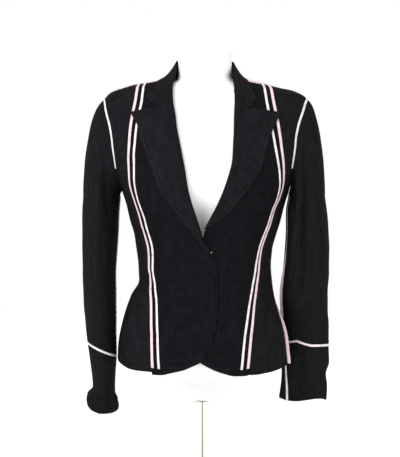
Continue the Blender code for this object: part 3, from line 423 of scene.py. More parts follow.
class Chain:
    """Paths end to end, each with its own share of the whole, so that corners stay sharp."""

    def __init__(self, *links):
        self.paths = [path for path, _ in links]
        self.marks = np.cumsum([0.0] + [share for _, share in links])
        self.length = sum(path.length for path in self.paths)

    def __call__(self, t):
        t = np.asarray(t, float)
        k = np.clip(np.searchsorted(self.marks, t, side="right") - 1, 0, len(self.paths) - 1)
        out = np.zeros(t.shape + (3,))
        for i, path in enumerate(self.paths):
            share = (t - self.marks[i]) / (self.marks[i + 1] - self.marks[i])
            out = np.where((k == i)[..., None], path(np.clip(share, 0, 1)), out)
        return out


def coons(left, right, bottom, top, s, v):
    """The patch between four lines that meet at its corners: s runs from left to right, v upwards."""
    start, end = np.zeros_like(s), np.ones_like(s)
    s3, v3 = s[..., None], v[..., None]
    sides = (1 - s3) * left(v) + s3 * right(v)
    ends = (1 - v3) * bottom(s) + v3 * top(s)
    corners = ((1 - s3) * (1 - v3) * bottom(start) + s3 * (1 - v3) * bottom(end)
               + (1 - s3) * v3 * top(start) + s3 * v3 * top(end))
    return sides + ends - corners


def pull_in(grid, gap=HALF_SEAM):
    """Moves a grid's rim towards its inside, which leaves the gap at its seams."""
    out = grid.copy()
    for edge, inner in ((0, 1), (-1, -2)):
        out[edge] += unit(grid[inner] - grid[edge]) * gap
    grid = out.copy()
    for edge, inner in ((0, 1), (-1, -2)):
        out[:, edge] += unit(grid[:, inner] - grid[:, edge]) * gap
    return out


# --- Looks: sizes ---------------------------------------------------------------------------------------

WALL = 1.7 * MM             # the cloth as it shows at its edges
EDGE_ROUND = 1.0 * MM       # radius of a turned or raw edge
SEAM_DIP = 0.45 * MM        # how far cloth sinks at a seam, and how wide
SEAM_DIP_WIDTH = 1.8 * MM
PUCKER = {"height": 0.22 * MM, "wave": 9.5 * MM, "reach": 9 * MM}
DRAPE = {"height": 0.55 * MM, "wave": 46 * MM}
RIBBON_CROWN = 0.35         # how much thinner a ribbon is at its edges
RIBBON_RIPPLE = {"height": 0.10 * MM, "wave": 8.5 * MM}
RIBBON_THREAD = {"length": 1.7 * MM, "thickness": 0.3 * MM, "pitch": 2.6 * MM}
RIBBON_SHOULDER_SPREAD = 1.5 * MM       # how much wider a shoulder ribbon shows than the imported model's
LAPEL_TAIL = 9 * MM         # how far the facing runs on behind the roll line
LAPEL_FULL = 14 * MM        # a lapel narrower than this has a shorter tail
LAPEL_FACE_FROM = 3.5 * MM  # its face starts this far from the roll line, past the roll
LAPEL_TRIM = 3.4 * MM       # the front ends this far inside the fold of its lapel

# A shoulder ribbon's back edge stands up by this height, between these shares of its length; it comes over
# to the front by this much, from the neck to the sleeve.
SHOULDER_STAND = {RIGHT: {"height": 2.6 * MM, "from": 0.06, "to": 0.9},
                  LEFT: {"height": 3.6 * MM, "from": -0.1, "to": 0.42}}
SHOULDER_WRAP = (4.6 * MM, 0.8 * MM)
HEM_STEPS = {RIGHT: HEM_STEP, LEFT: 0.8 * MM}
ARMHOLE_RIBBON_WIDTH = 5.0 * MM         # in front, where it shows
ARMHOLE_RIBBON_START = {"front": 0.33, "back": 0.10}    # as a share of the armhole, from its foot
NECK = {"from": 758 * MM, "fade": 26 * MM, "half_width": 51.6 * MM, "shift": -1.2 * MM}
HOLLOW = {"z": 490 * MM, "height": 62 * MM, "width": 34 * MM, "depth": 27 * MM}  # between the form's breasts
SIDE_SWING = {RIGHT: 0.0, LEFT: 15.0, "top": 352 * MM, "fade": 120 * MM}    # of the side seams, in degrees
# How far the left cuff's seam rises or drops across the sleeve: x from the centre line and rise, in mm.
CUFF_LINE_BEND = ((-30, -0.4), (156, -0.4), (175, 3.0), (191, -2.8), (203, -5.6), (239, -6.1))
CUFF_LINE_REACH = 34 * MM
# The left sleeve's seam ribbon stands off it, and the sleeve draws in beside it.
SLEEVE_STAND = {"angle": -72.0, "width": 4.8 * MM, "thin": 0.2 * MM, "from": 450 * MM, "fade": 80 * MM}
SLEEVE_TUCK = {"depth": 2.4 * MM, "angle": -90, "spread": 26}

# Folds as they are seen from straight ahead: the width, the height and a line of x and z, all in mm. Ridges
# are above 0 and valleys below.
FOLD_DEPTH = 1.2            # all of them are deepened by this much
BODY_FOLDS = [
    (5, -2.4, ((-129, 385), (-117, 387), (-106, 396))),
    (9, 2.0, ((-131, 366), (-120, 356), (-112, 336))),
    (10, 1.5, ((4, 432), (-30, 408), (-58, 399))),
    (7, -1.3, ((4, 381), (-24, 384), (-50, 374))),
    (8, 1.0, ((-40, 360), (-66, 370))),
    (9, 1.0, ((-24, 327), (-58, 331), (-82, 322))),
    (9, 0.9, ((-60, 300), (-64, 250))),
    (8, 1.2, ((44, 470), (41, 419), (31, 365))),
    (5, -1.4, ((24, 402), (23, 346))),
    (10, 1.2, ((58, 436), (66, 350), (62, 262))),
    (8, 1.0, ((84, 500), (72, 458))),
    (5.5, 2.2, ((109, 346), (108, 288), (112, 226))),
    (4.5, -2.2, ((117, 356), (120, 288), (124, 226))),
    (5.5, 1.8, ((126, 322), (129, 270), (132, 226))),
    (14, 1.6, ((-141, 346), (-156, 262))),
    (9, 0.8, ((-150, 610), (-128, 640))),
    (9, 0.8, ((152, 610), (130, 645))),
]
BACK_FOLDS = [
    (10, 1.4, ((-92, 396), (-40, 388), (0, 392))),
    (10, 1.4, ((92, 400), (44, 390), (0, 394))),
    (9, -1.2, ((-88, 372), (-46, 366), (-8, 372))),
    (9, -1.2, ((88, 376), (50, 368), (8, 374))),
    (14, 1.5, ((-60, 330), (-74, 232))),
    (14, 1.5, ((60, 330), (76, 232))),
    (12, -1.2, ((-30, 320), (-36, 232))),
    (12, -1.2, ((30, 320), (38, 232))),
    (16, 1.2, ((-120, 640), (-70, 560))),
    (16, 1.2, ((120, 640), (70, 560))),
]
SLEEVE_FOLDS = {
    RIGHT: [
        (6, 2.0, ((-204.5, 652), (-207.4, 538), (-210, 419), (-218, 305))),
        (7, -3.2, ((-193, 640), (-190, 576), (-184, 480))),
        (7, -2.0, ((-178, 440), (-176, 330))),
        (7, 0.9, ((-186, 470), (-188, 400))),
        (9, -0.9, ((-226, 560), (-228, 440))),
    ],
    LEFT: [
        (3.8, 4.2, ((175, 606), (179, 540), (167, 447), (161, 380))),
        (6.5, -9.0, ((190, 640), (189, 538), (185, 440), (181, 360))),
        (4, -2.4, ((166, 590), (168, 480))),
        (12, 2.2, ((212, 600), (214, 440), (208, 380))),
        (5, 1.3, ((168, 404), (203, 369))),
        (4.5, -1.2, ((167, 390), (198, 358))),
        (4, 1.0, ((182, 340), (226, 346))),
        (4, 0.9, ((180, 325), (222, 323))),
        (4, 0.8, ((188, 311), (228, 304))),
        (6, 0.9, ((224, 660), (231, 560))),
        (5, -2.6, ((184, 236), (184, 172))),
        (6, 1.5, ((166, 240), (171, 178))),
        (6, 1.3, ((203, 210), (200, 165))),
    ],
}
ELBOW_CREASES = {"side": RIGHT, "count": 9, "top": 416, "pitch": 12.5, "from": -210, "to": -174, "width": 2.6,
                 "height": 0.8}

# Stitches, tacks and loose yarns.
STITCH = {"length": 2.4 * MM, "pitch": 3.4 * MM, "thickness": 0.45 * MM}
TOPSTITCH_ROWS = (4.8 * MM, 13.4 * MM)  # distances from the edge
TOPSTITCH_END = 3                       # and it starts and ends this many rows of the mesh inside a lapel
RIBBON_STITCH_IN = 0.8 * MM
RIBBON_TACKS = {            # heights of the tacks that cross the pairs of ribbons down the fronts
    RIGHT: (433 * MM, 371 * MM),
    LEFT: (427 * MM, 361 * MM),
}
TACK_THREAD = {"length": 1.5 * MM, "thickness": 0.7 * MM, "pitch": 1.2 * MM}
FASTENING = (17.5 * MM, 439 * MM)       # x and height of the tacks of the hidden hook
FASTENING_SIZE = 1.6 * MM               # half of its width
FASTENING_THREAD = {"length": 1.8 * MM, "thickness": 0.35 * MM, "pitch": 1.6 * MM}
FRAY = {"count": 190, "length": 2.6 * MM, "thickness": 0.34 * MM, "seed": 7}

# How finely the pieces are built.
GRID_STEP = 3.6 * MM        # size of the mesh's faces on the cloth
EDGE_COLUMNS = (0.25 * MM, 0.6 * MM, 1.1 * MM, 2.4 * MM)        # rows of faces this far from each edge
RIBBON_COLUMNS = 7
PATH_POINTS = 240
FIT_STEPS = 8               # rounds of moving a point on to the body surface
CAP_LEVELS, ARM_LEVELS = 34, 82         # rows of a sleeve above and below the biceps
UNDER_COLUMNS, UPPER_COLUMNS = 44, 96   # and columns of its under and upper piece
LEFT_CUFF_SIDES = 130

CAMERA = {"azimuth": 4.0, "distance": 3.0, "aim": (-2.6 * MM, 0.0, 483 * MM), "frame_height": 457 * 1.92 * MM}
SENSOR = 36.0
TUBE_PAINTED_REFLECTION = {"azimuth": 12.0, "width": 3.6 * MM}     # the painted reflection down the pole's tube, a dark line


# --- Seam lines and panels ------------------------------------------------------------------------------

def overlap_lift(side, grid):
    """How far a front's outer face stands off the body surface: the right one laps over the left one."""
    if side == LEFT:
        return np.zeros(grid.shape[:-1])
    near = smooth_step((grid[..., 0] - OVERLAP["from"]) / OVERLAP["fade"])
    low = 1 - smooth_step((grid[..., 2] - OVERLAP["up_to"]) / OVERLAP["fade_up"])
    return OVERLAP["lift"] * near * low


def princess_path(side):
    column = PRINCESS_COLUMNS.index(NAMES[side])
    keys = [face_point(side, row[column] * MM, row[0] * MM) for row in PRINCESS]
    return Path(keys + [shoulder_point(side, PRINCESS_TOP_X[side])])


def side_seam_angle(side, z):
    """The left side seam swings forward below the waist, where the skirt of the blazer flares."""
    swing = SIDE_SWING[side] * smooth_step((SIDE_SWING["top"] - z) / SIDE_SWING["fade"])
    return SIDE_SEAM_ANGLE - swing


def side_seam_path(side):
    heights = np.linspace(SIDE_SEAM_FOOT[side], ARMHOLE_FOOT, 13)
    return Path([ring_point(side, side_seam_angle(side, z), z) for z in heights])


def armhole_path(side, back=False):
    table = ARMHOLE_BACK if back else ARMHOLE_FRONT
    foot = [ring_point(side, SIDE_SEAM_ANGLE, ARMHOLE_FOOT)]
    return Path(foot + face_points(side, table, back) + [shoulder_point(side, SHOULDER_TIP_X)])


def neck_path(side):
    """The neck seam of a front, from the top of the roll line to the shoulder seam."""
    start = face_points(side, ROLL_LINE[side][-1:])
    return Path(start + mirrored(side, NECK_FRONT) + [shoulder_point(side, NECK_POINT_X)])


def back_neck_path(side):
    return Path([shoulder_point(side, NECK_POINT_X)] + mirrored(side, NECK_BACK + [BACK_NECK]))


def ridge_path(side, start, end):
    return Path([shoulder_point(side, x) for x in np.linspace(start, end, 9)])


class Panel:
    """A patch of cloth between four seam lines, with the marks that need a row of their own."""

    def __init__(self, lines, marks):
        self.lines, self.marks = lines, marks

    def width(self, v):
        rim = coons(*self.lines, np.array([[0.0, 1.0]] * len(v)), np.repeat(v[:, None], 2, axis=1))
        return np.linalg.norm(rim[:, 1] - rim[:, 0], axis=-1)

    def points(self, s, v):
        return on_body(coons(*self.lines, s, np.broadcast_to(v[:, None], s.shape)))


def front_panel(side):
    paths = (Path(face_points(side, FRONT_EDGE[side])), Path(face_points(side, ROLL_LINE[side])),
             neck_path(side))
    edge = Chain(*zip(paths, FRONT_EDGE_SHARES))
    hem = Path(face_points(side, FRONT_HEM[side]))
    shoulder = ridge_path(side, PRINCESS_TOP_X[side], NECK_POINT_X)
    return Panel((princess_path(side), edge, hem, shoulder), np.cumsum((0.0,) + FRONT_EDGE_SHARES))


def side_front_panel(side):
    seam = princess_path(side)
    outer = Chain((side_seam_path(side), SIDE_SEAM_SHARE), (armhole_path(side), 1 - SIDE_SEAM_SHARE))

    def lifted(v):
        return seam(v + np.maximum(0, 1 - v / RIBBON_START_SHARE) * HEM_STEPS[side] / seam.length)

    hem = Path([lifted(0.0)] + face_points(side, SIDE_HEM[side])
               + [ring_point(side, side_seam_angle(side, SIDE_SEAM_FOOT[side]), SIDE_SEAM_FOOT[side])])
    shoulder = ridge_path(side, PRINCESS_TOP_X[side], SHOULDER_TIP_X)
    return Panel((lifted, outer, hem, shoulder), (0, RIBBON_START_SHARE, SIDE_SEAM_SHARE, 1))


def back_panel(side):
    heights = np.linspace(BACK_HEM_Z, BACK_NECK[2] * MM, 12)
    centre = Path([(0.0, float(BODY_AT["back"](z)), z) for z in heights])
    outer = Chain((side_seam_path(side), SIDE_SEAM_SHARE),
                  (armhole_path(side, back=True), 1 - SIDE_SEAM_SHARE))
    neck = Path([centre(1.0)] + mirrored(side, NECK_BACK[::-1]) + [shoulder_point(side, NECK_POINT_X)])
    shoulder = ridge_path(side, NECK_POINT_X, SHOULDER_TIP_X)
    top = Chain((neck, BACK_NECK_SHARE), (shoulder, 1 - BACK_NECK_SHARE))
    foot = ring_point(side, side_seam_angle(side, SIDE_SEAM_FOOT[side]), SIDE_SEAM_FOOT[side])
    halfway = 0.5 * (BACK_HEM_Z + foot[2])
    hem = Path([centre(0.0), ring_point(side, 160, BACK_HEM_Z), ring_point(side, 130, halfway), foot])
    return Panel((centre, outer, hem, top), (0, SIDE_SEAM_SHARE, 1))


SLEEVE_AT = {side: columns_of(rows, SLEEVE_COLUMNS) for side, rows in SLEEVES.items()}
SEAT_AT = columns_of(SEAT, SEAT_COLUMNS)
FORM_WIDTH = Curve([h * MM for h, _ in FORM_HALF_WIDTH], [w * MM for _, w in FORM_HALF_WIDTH])
ARMHOLES = {side: (armhole_path(side), armhole_path(side, back=True)) for side in SIDES}
PANEL_KINDS = {"front": front_panel, "side_front": side_front_panel, "back": back_panel}
PANELS = {(kind, side): shape(side) for kind, shape in PANEL_KINDS.items() for side in SIDES}


def rows_through(marks, length):
    """Shares of a length with a row on each mark, even steps between them and close rows at both ends."""
    shares = []
    for start, end in zip(marks[:-1], marks[1:]):
        count = max(2, round((end - start) * length / GRID_STEP))
        shares.extend(np.linspace(start, end, count + 1)[:-1])
    shares.append(marks[-1])
    close = [d / length for d in EDGE_COLUMNS]
    first, last = marks[0] + close[-1], marks[-1] - close[-1]
    shares = [x for x in shares if x <= marks[0] or x >= marks[-1] or first < x < last]
    return np.array(sorted(shares + close + [1 - c for c in close]))


def seam_columns(width):
    """Column shares for each row: close together at both edges and evenly between."""
    count = max(3, round(float(np.max(width)) / GRID_STEP))
    length = width[:, None]
    start = np.array((0.0,) + EDGE_COLUMNS) / length
    end = 1 - np.array(EDGE_COLUMNS + (0.0,)) / length
    between = np.linspace(0, 1, count + 1)[1:-1]
    middle = start[:, -1:] + (end[:, :1] - start[:, -1:]) * between
    return np.concatenate((start, middle, end), axis=-1)


# --- Folds ----------------------------------------------------------------------------------------------

def seen(p):
    """Where points lie as the camera sees them: x from the garment's centre line and height, at the pole."""
    turn = math.radians(CAMERA["azimuth"])
    away = 1 + (p[..., 1] * math.cos(turn) - p[..., 0] * math.sin(turn)) / CAMERA["distance"]
    x = (p[..., 0] * math.cos(turn) + p[..., 1] * math.sin(turn)) / away
    return x, CAMERA["aim"][2] + (p[..., 2] - CAMERA["aim"][2]) / away


def fold_height(x, z, table):
    """The sum of a table's folds at points seen from straight ahead, each fading out at its ends."""
    total = np.zeros(np.shape(x))
    for width, height, line in table:
        line = np.array(line, float) * MM
        marks = reach_of(line)
        marks = marks / marks[-1]
        best = np.full(np.shape(x), np.inf)
        along = np.zeros(np.shape(x))
        for a, b, m0, m1 in zip(line[:-1], line[1:], marks[:-1], marks[1:]):
            t = ((x - a[0]) * (b - a)[0] + (z - a[1]) * (b - a)[1]) / ((b - a) ** 2).sum()
            t = np.clip(t, 0, 1)
            gap = np.hypot(x - a[0] - t * (b - a)[0], z - a[1] - t * (b - a)[1])
            along = np.where(gap < best, m0 + t * (m1 - m0), along)
            best = np.minimum(best, gap)
        fade = 0.25 + 0.75 * np.sin(np.pi * np.clip(along, 0.02, 0.98)) ** 0.7
        total += FOLD_DEPTH * height * MM * fade * np.exp(-(best / (width * MM)) ** 2)
    return total


def drape(p):
    """The slight unevenness of hanging cloth, as a few long waves across each other."""
    x, y, z = (p[..., k] / DRAPE["wave"] * 2 * math.pi for k in range(3))
    waves = (np.sin(x * 0.9 + z * 0.35 + 1.1) + 0.7 * np.sin(z * 0.8 - x * 0.5 + 0.6 * np.sin(y * 0.7))
             + 0.5 * np.sin(y * 1.3 + z * 0.21 + 2.0))
    return DRAPE["height"] * waves / 2.2


def body_folds(p):
    """How far the folds move the cloth of the body; they fade out towards its sides."""
    ahead = p[..., 1] < 0
    front = fold_height(*seen(p), BODY_FOLDS)
    back = fold_height(p[..., 0], p[..., 2], BACK_FOLDS)
    return np.where(ahead, front, back) * smooth_step(abs(p[..., 1]) / (25 * MM)) + drape(p)


def elbow_creases(crease):
    """The small creases above one another inside the elbow, each at its own slant."""
    made = []
    for k in range(crease["count"]):
        z = crease["top"] - k * crease["pitch"]
        lean = 3 * math.sin(2.3 * k)
        start = crease["from"] + 4 * math.sin(k * 1.9)
        height = crease["height"] * (0.7 + 0.3 * math.sin(1.7 * k + 1))
        made.append((crease["width"], height, ((start, z + lean), (crease["to"], z - lean))))
    return made


SLEEVE_FOLDS[ELBOW_CREASES["side"]].extend(elbow_creases(ELBOW_CREASES))


def sleeve_folds(side, p, normal):
    """How far the folds move the cloth of a sleeve; they are on its front, where they show."""
    ahead = smooth_step(-normal[..., 1] / 0.3)
    return fold_height(*seen(p), SLEEVE_FOLDS[side]) * ahead + 0.8 * drape(p)


# --- Meshes ---------------------------------------------------------------------------------------------

def reach_across(grid):
    """Each point's distance along its row from the row's start, in a grid of points."""
    steps = np.linalg.norm(np.diff(grid, axis=1), axis=-1)
    return np.concatenate((np.zeros((len(grid), 1)), np.cumsum(steps, axis=1)), axis=1)


def edge_distances(grid):
    """Each point's distance from the grid's four edges."""
    across, along = reach_across(grid), reach_across(grid.swapaxes(0, 1)).T
    return {"left": across, "right": across[:, -1:] - across, "bottom": along, "top": along[-1:] - along}


def add_object(name, data):
    made = bpy.data.objects.new(name, data)
    bpy.context.scene.collection.objects.link(made)
    return made


def add_mesh(name, points, faces, look, face_uvs=None, sharp=50):
    """A mesh of its own, smooth but for the corners sharper than an angle in degrees."""
    mesh = bpy.data.meshes.new(name)
    mesh.from_pydata(points.tolist(), [], faces)
    if face_uvs is not None:
        layer = mesh.uv_layers.new(name="cut")
        layer.data.foreach_set("uv", np.ascontiguousarray(face_uvs, dtype=np.float32).ravel())
    mesh.materials.append(look)
    mesh.shade_smooth()
    mesh.set_sharp_from_angle(angle=math.radians(sharp))
    return add_object(name, mesh)


def wall_faces(index, half, ring):
    """The faces of a closed wall whose outer points have these indices, and its inner ones half more."""
    a, b, c, d = index[:-1, :-1], index[:-1, 1:], index[1:, 1:], index[1:, :-1]
    faces = [np.stack((a, b, c, d), -1).reshape(-1, 4), half + np.stack((d, c, b, a), -1).reshape(-1, 4)]
    for line, flip in ((index[0], True), (index[-1], False)):
        rim = np.stack((line[:-1], line[1:], half + line[1:], half + line[:-1]), -1)
        faces.append(rim[:, ::-1] if flip else rim)
    if not ring:
        for line, flip in ((index[:, 0], False), (index[:, -1], True)):
            rim = np.stack((line[:-1], line[1:], half + line[1:], half + line[:-1]), -1)
            faces.append(rim[:, ::-1] if flip else rim)
    return np.concatenate(faces)


def add_wall(name, outer, inner, look, ring=False):
    """A closed wall between two matching grids, with a UV map in metres of cloth."""
    rows, cols = outer.shape[:2]
    index = np.arange(rows * cols).reshape(rows, cols)
    wide = closed(outer) if ring else outer
    index = closed(index) if ring else index
    uv_index = np.arange(index.size).reshape(index.shape)
    across, along = reach_across(wide), reach_across(wide.swapaxes(0, 1)).T
    share = across / across[:, -1:]
    uv = np.stack((share * across[:, -1].mean(), along), -1).reshape(-1, 2)
    faces = wall_faces(index, rows * cols, ring)
    face_uvs = uv[wall_faces(uv_index, 0, ring)]
    facing = np.cross(outer[:-1, 1:] - outer[:-1, :-1], outer[1:, :-1] - outer[:-1, :-1])
    if (facing * (outer - inner)[:-1, :-1]).sum() < 0:
        faces, face_uvs = faces[:, ::-1], face_uvs[:, ::-1]
    points = np.concatenate((outer.reshape(-1, 3), inner.reshape(-1, 3)))
    points[:, 0] += GARMENT_X
    return add_mesh(name, points, faces.tolist(), look, face_uvs)


def rounded_edges(away, edges):
    """The cloth's thickness, which gets less at the edges named, by the distances from each edge."""
    thick = np.full(away["left"].shape, WALL)
    for edge in edges:
        t = np.clip(away[edge] / EDGE_ROUND, 0, 1)
        thick = np.minimum(thick, WALL * (0.3 + 0.7 * np.sqrt(1 - (1 - t) ** 2)))
    return thick


def shaped_wall(name, grid, normal, height, look, free=(), seams=(), ring=False):
    """A wall of cloth over a grid: rounded at its free edges, sunk and puckered at its seams."""
    away = edge_distances(grid)
    thick = rounded_edges(away, free)
    for edge in seams:
        d = away[edge]
        run = away["bottom"] if edge in ("left", "right") else away["left"]
        dip = SEAM_DIP * np.exp(-(d / SEAM_DIP_WIDTH) ** 2)
        wave = np.sin(run / PUCKER["wave"] * 2 * math.pi + 1.3 * np.sin(run / PUCKER["wave"]))
        share = d / PUCKER["reach"]
        height = height - dip + PUCKER["height"] * wave * share * np.exp(1 - share) * (share < 6)
    outer = grid + normal * (height - (WALL - thick) / 2)[..., None]
    inner = outer - normal * thick[..., None]
    return add_wall(name, outer, inner, look, ring)


# --- Materials ------------------------------------------------------------------------------------------

def new_node(tree, kind, place=(0, 0), **settings):
    node = tree.nodes.new(kind)
    node.location = place
    for name, value in settings.items():
        setattr(node, name, value)
    return node


def link(tree, start, end):
    tree.links.new(start, end)


def math_node(tree, operation, first, second=None, place=(0, 0)):
    node = new_node(tree, "ShaderNodeMath", place, operation=operation)
    for socket, value in zip(node.inputs, (first, second)):
        if value is None:
            continue
        if isinstance(value, (int, float)):
            socket.default_value = value
        else:
            link(tree, value, socket)
    return node.outputs[0]


def group_socket(tree, name, kind, where, default=None):
    socket = tree.interface.new_socket(name, in_out=where, socket_type=kind)
    if default is not None:
        socket.default_value = default
    return socket


def stretched_noise(tree, uv, stretch, detail, place):
    """Noise that is finer by the given factor along each of its axes."""
    mapping = new_node(tree, "ShaderNodeMapping", place)
    mapping.inputs["Scale"].default_value = stretch
    noise = new_node(tree, "ShaderNodeTexNoise", (place[0] + 200, place[1]))
    noise.inputs["Scale"].default_value = 1.0
    noise.inputs["Detail"].default_value = detail
    link(tree, uv, mapping.inputs["Vector"])
    link(tree, mapping.outputs[0], noise.inputs["Vector"])
    return noise.outputs["Fac"]


def object_noise(tree, scale, detail=2.0):
    """Even noise over an object's own coordinates."""
    where = new_node(tree, "ShaderNodeTexCoord", (-900, 0))
    noise = new_node(tree, "ShaderNodeTexNoise", (-700, 0))
    noise.inputs["Scale"].default_value = scale
    noise.inputs["Detail"].default_value = detail
    link(tree, where.outputs["Object"], noise.inputs["Vector"])
    return noise.outputs["Fac"]


def darker(colour, share):
    return tuple(c * share for c in colour)


def weave_group():
    """Plain weave with slubs: how light each spot is, and the height of its threads."""
    tree = bpy.data.node_groups.new("Slubbed weave", "ShaderNodeTree")
    group_socket(tree, "Vector", "NodeSocketVector", "INPUT")
    group_socket(tree, "Threads per Metre", "NodeSocketFloat", "INPUT", 1500.0)
    group_socket(tree, "Tone", "NodeSocketFloat", "OUTPUT")
    group_socket(tree, "Height", "NodeSocketFloat", "OUTPUT")
    start, end = new_node(tree, "NodeGroupInput", (-900, 0)), new_node(tree, "NodeGroupOutput", (900, 0))
    uv = start.outputs["Vector"]
    weft = stretched_noise(tree, uv, (24, 330, 1), 3.0, (-600, 300))
    warp = stretched_noise(tree, uv, (330, 18, 1), 3.0, (-600, 0))
    patches = stretched_noise(tree, uv, (60, 60, 1), 3.0, (-600, -300))
    slubs = math_node(tree, "ADD", weft, warp, (-100, 200))
    tone = math_node(tree, "ADD", slubs, patches, (100, 100))
    link(tree, math_node(tree, "DIVIDE", tone, 3.0, (300, 100)), end.inputs["Tone"])
    split = new_node(tree, "ShaderNodeSeparateXYZ", (-600, -600))
    link(tree, uv, split.inputs[0])
    turn = math_node(tree, "MULTIPLY", start.outputs["Threads per Metre"], math.pi, (-600, -800))
    across = math_node(tree, "SINE", math_node(tree, "MULTIPLY", split.outputs[0], turn), None, (-200, -500))
    along = math_node(tree, "SINE", math_node(tree, "MULTIPLY", split.outputs[1], turn), None, (-200, -700))
    threads = math_node(tree, "MULTIPLY", across, along, (0, -600))
    raised = math_node(tree, "MULTIPLY", threads, 0.35, (200, -600))
    link(tree, math_node(tree, "ADD", raised, slubs, (400, -400)), end.inputs["Height"])
    return tree


def principled(name, colour, roughness, metallic=0.0):
    """A new material, with its node tree and its shader."""
    look = bpy.data.materials.new(name)
    look.use_nodes = True
    shader = look.node_tree.nodes["Principled BSDF"]
    shader.inputs["Base Color"].default_value = (*colour, 1)
    shader.inputs["Roughness"].default_value = roughness
    shader.inputs["Metallic"].default_value = metallic
    return look, look.node_tree, shader


def tone_ramp(tree, fac, dark, light, low, high):
    """A colour that goes from dark to light as a value goes from low to high."""
    ramp = new_node(tree, "ShaderNodeValToRGB", (-300, 200))
    for end, position, colour in zip(ramp.color_ramp.elements, (low, high), (dark, light)):
        end.position, end.color = position, (*colour, 1)
    link(tree, fac, ramp.inputs[0])
    return ramp.outputs[0]


def bump(tree, height, strength, distance, shader):
    node = new_node(tree, "ShaderNodeBump", (-200, -400))
    node.inputs["Strength"].default_value = strength
    node.inputs["Distance"].default_value = distance
    link(tree, height, node.inputs["Height"])
    link(tree, node.outputs[0], shader.inputs["Normal"])


def woven_cloth(name, weave, colour, spread=0.42):
    """Matte slubbed cloth, lighter and darker by its threads."""
    look, tree, shader = principled(name, colour, 0.82)
    uv = new_node(tree, "ShaderNodeUVMap", (-1100, 0), uv_map="cut")
    threads = new_node(tree, "ShaderNodeGroup", (-800, 0), node_tree=weave)
    link(tree, uv.outputs[0], threads.inputs["Vector"])
    dark, light = darker(colour, 1 - spread), darker(colour, 1 + spread)
    link(tree, tone_ramp(tree, threads.outputs["Tone"], dark, light, 0.36, 0.64), shader.inputs["Base Color"])
    bump(tree, threads.outputs["Height"], 0.35, 0.25 * MM, shader)
    shader.inputs["Specular IOR Level"].default_value = 0.02
    return look


def satin(name, colour, edge):
    """Satin ribbon: fine cross ribs, a soft gloss and slightly deeper colour in its ripples."""
    look, tree, shader = principled(name, colour, 0.42)
    uv = new_node(tree, "ShaderNodeUVMap", (-1100, 0), uv_map="cut")
    ribs = stretched_noise(tree, uv.outputs[0], (420, 2600, 1), 1.0, (-900, 0))
    shade = stretched_noise(tree, uv.outputs[0], (70, 90, 1), 2.0, (-900, -300))
    mix = math_node(tree, "MULTIPLY", math_node(tree, "ADD", ribs, shade), 0.5, (-500, 0))
    link(tree, tone_ramp(tree, mix, edge, colour, 0.35, 0.55), shader.inputs["Base Color"])
    bump(tree, ribs, 0.25, 0.1 * MM, shader)
    shader.inputs["Sheen Weight"].default_value = 0.15
    shader.inputs["Specular IOR Level"].default_value = 0.4
    return look


def thread(name, colour):
    """Sewing thread or yarn, with its twist."""
    look, tree, shader = principled(name, colour, 0.6)
    twist = object_noise(tree, 2400.0)
    link(tree, tone_ramp(tree, twist, darker(colour, 0.75), colour, 0.4, 0.6), shader.inputs["Base Color"])
    bump(tree, twist, 0.3, 0.1 * MM, shader)
    return look


def moulded_shell(name, colour):
    """Smooth painted shell, with the faint unevenness of paint."""
    look, tree, shader = principled(name, colour, 0.45)
    paint = object_noise(tree, 38.0, 4.0)
    link(tree, tone_ramp(tree, paint, darker(colour, 0.985), colour, 0.3, 0.7), shader.inputs["Base Color"])
    bump(tree, paint, 0.05, 0.3 * MM, shader)
    return look


def polished_chrome(name, colour):
    """Chrome with fine marks from turning and wiping."""
    look, tree, shader = principled(name, colour, 0.07, 1.0)
    where = new_node(tree, "ShaderNodeTexCoord", (-1100, 0))
    marks = stretched_noise(tree, where.outputs["Object"], (40, 40, 900), 2.0, (-900, 0))
    rough = new_node(tree, "ShaderNodeMapRange", (-400, -200))
    rough.inputs["To Min"].default_value = 0.05
    rough.inputs["To Max"].default_value = 0.13
    link(tree, marks, rough.inputs["Value"])
    link(tree, rough.outputs[0], shader.inputs["Roughness"])
    bump(tree, marks, 0.02, 0.1 * MM, shader)
    return look


def tube_with_painted_reflection(name, colour, seam):
    """The same chrome on a tube, with a painted reflection as a dark line down its length."""
    look = polished_chrome(name, colour)
    tree = look.node_tree
    shader = next(node for node in tree.nodes if node.type == "BSDF_PRINCIPLED")
    turn = math.radians(TUBE_PAINTED_REFLECTION["azimuth"])
    place = new_node(tree, "ShaderNodeTexCoord", (-1500, 400)).outputs["Object"]
    found = []
    for k, way in enumerate(((math.sin(turn), -math.cos(turn), 0), (math.cos(turn), math.sin(turn), 0))):
        dot = new_node(tree, "ShaderNodeVectorMath", (-1300, 400 - 200 * k), operation="DOT_PRODUCT")
        dot.inputs[1].default_value = way
        link(tree, place, dot.inputs[0])
        found.append(dot.outputs["Value"])
    # The dark line is a painted reflection, laid on the side of the tube that faces ahead.
    ahead = math_node(tree, "GREATER_THAN", found[0], 0.0, (-1100, 400))
    off = math_node(tree, "ABSOLUTE", found[1], None, (-1100, 200))
    line = math_node(tree, "LESS_THAN", off, TUBE_PAINTED_REFLECTION["width"] / 2, (-900, 200))
    on_reflection = math_node(tree, "MULTIPLY", ahead, line, (-700, 300))
    link(tree, tone_ramp(tree, on_reflection, colour, seam, 0.4, 0.6), shader.inputs["Base Color"])
    return look


LOOKS = {}


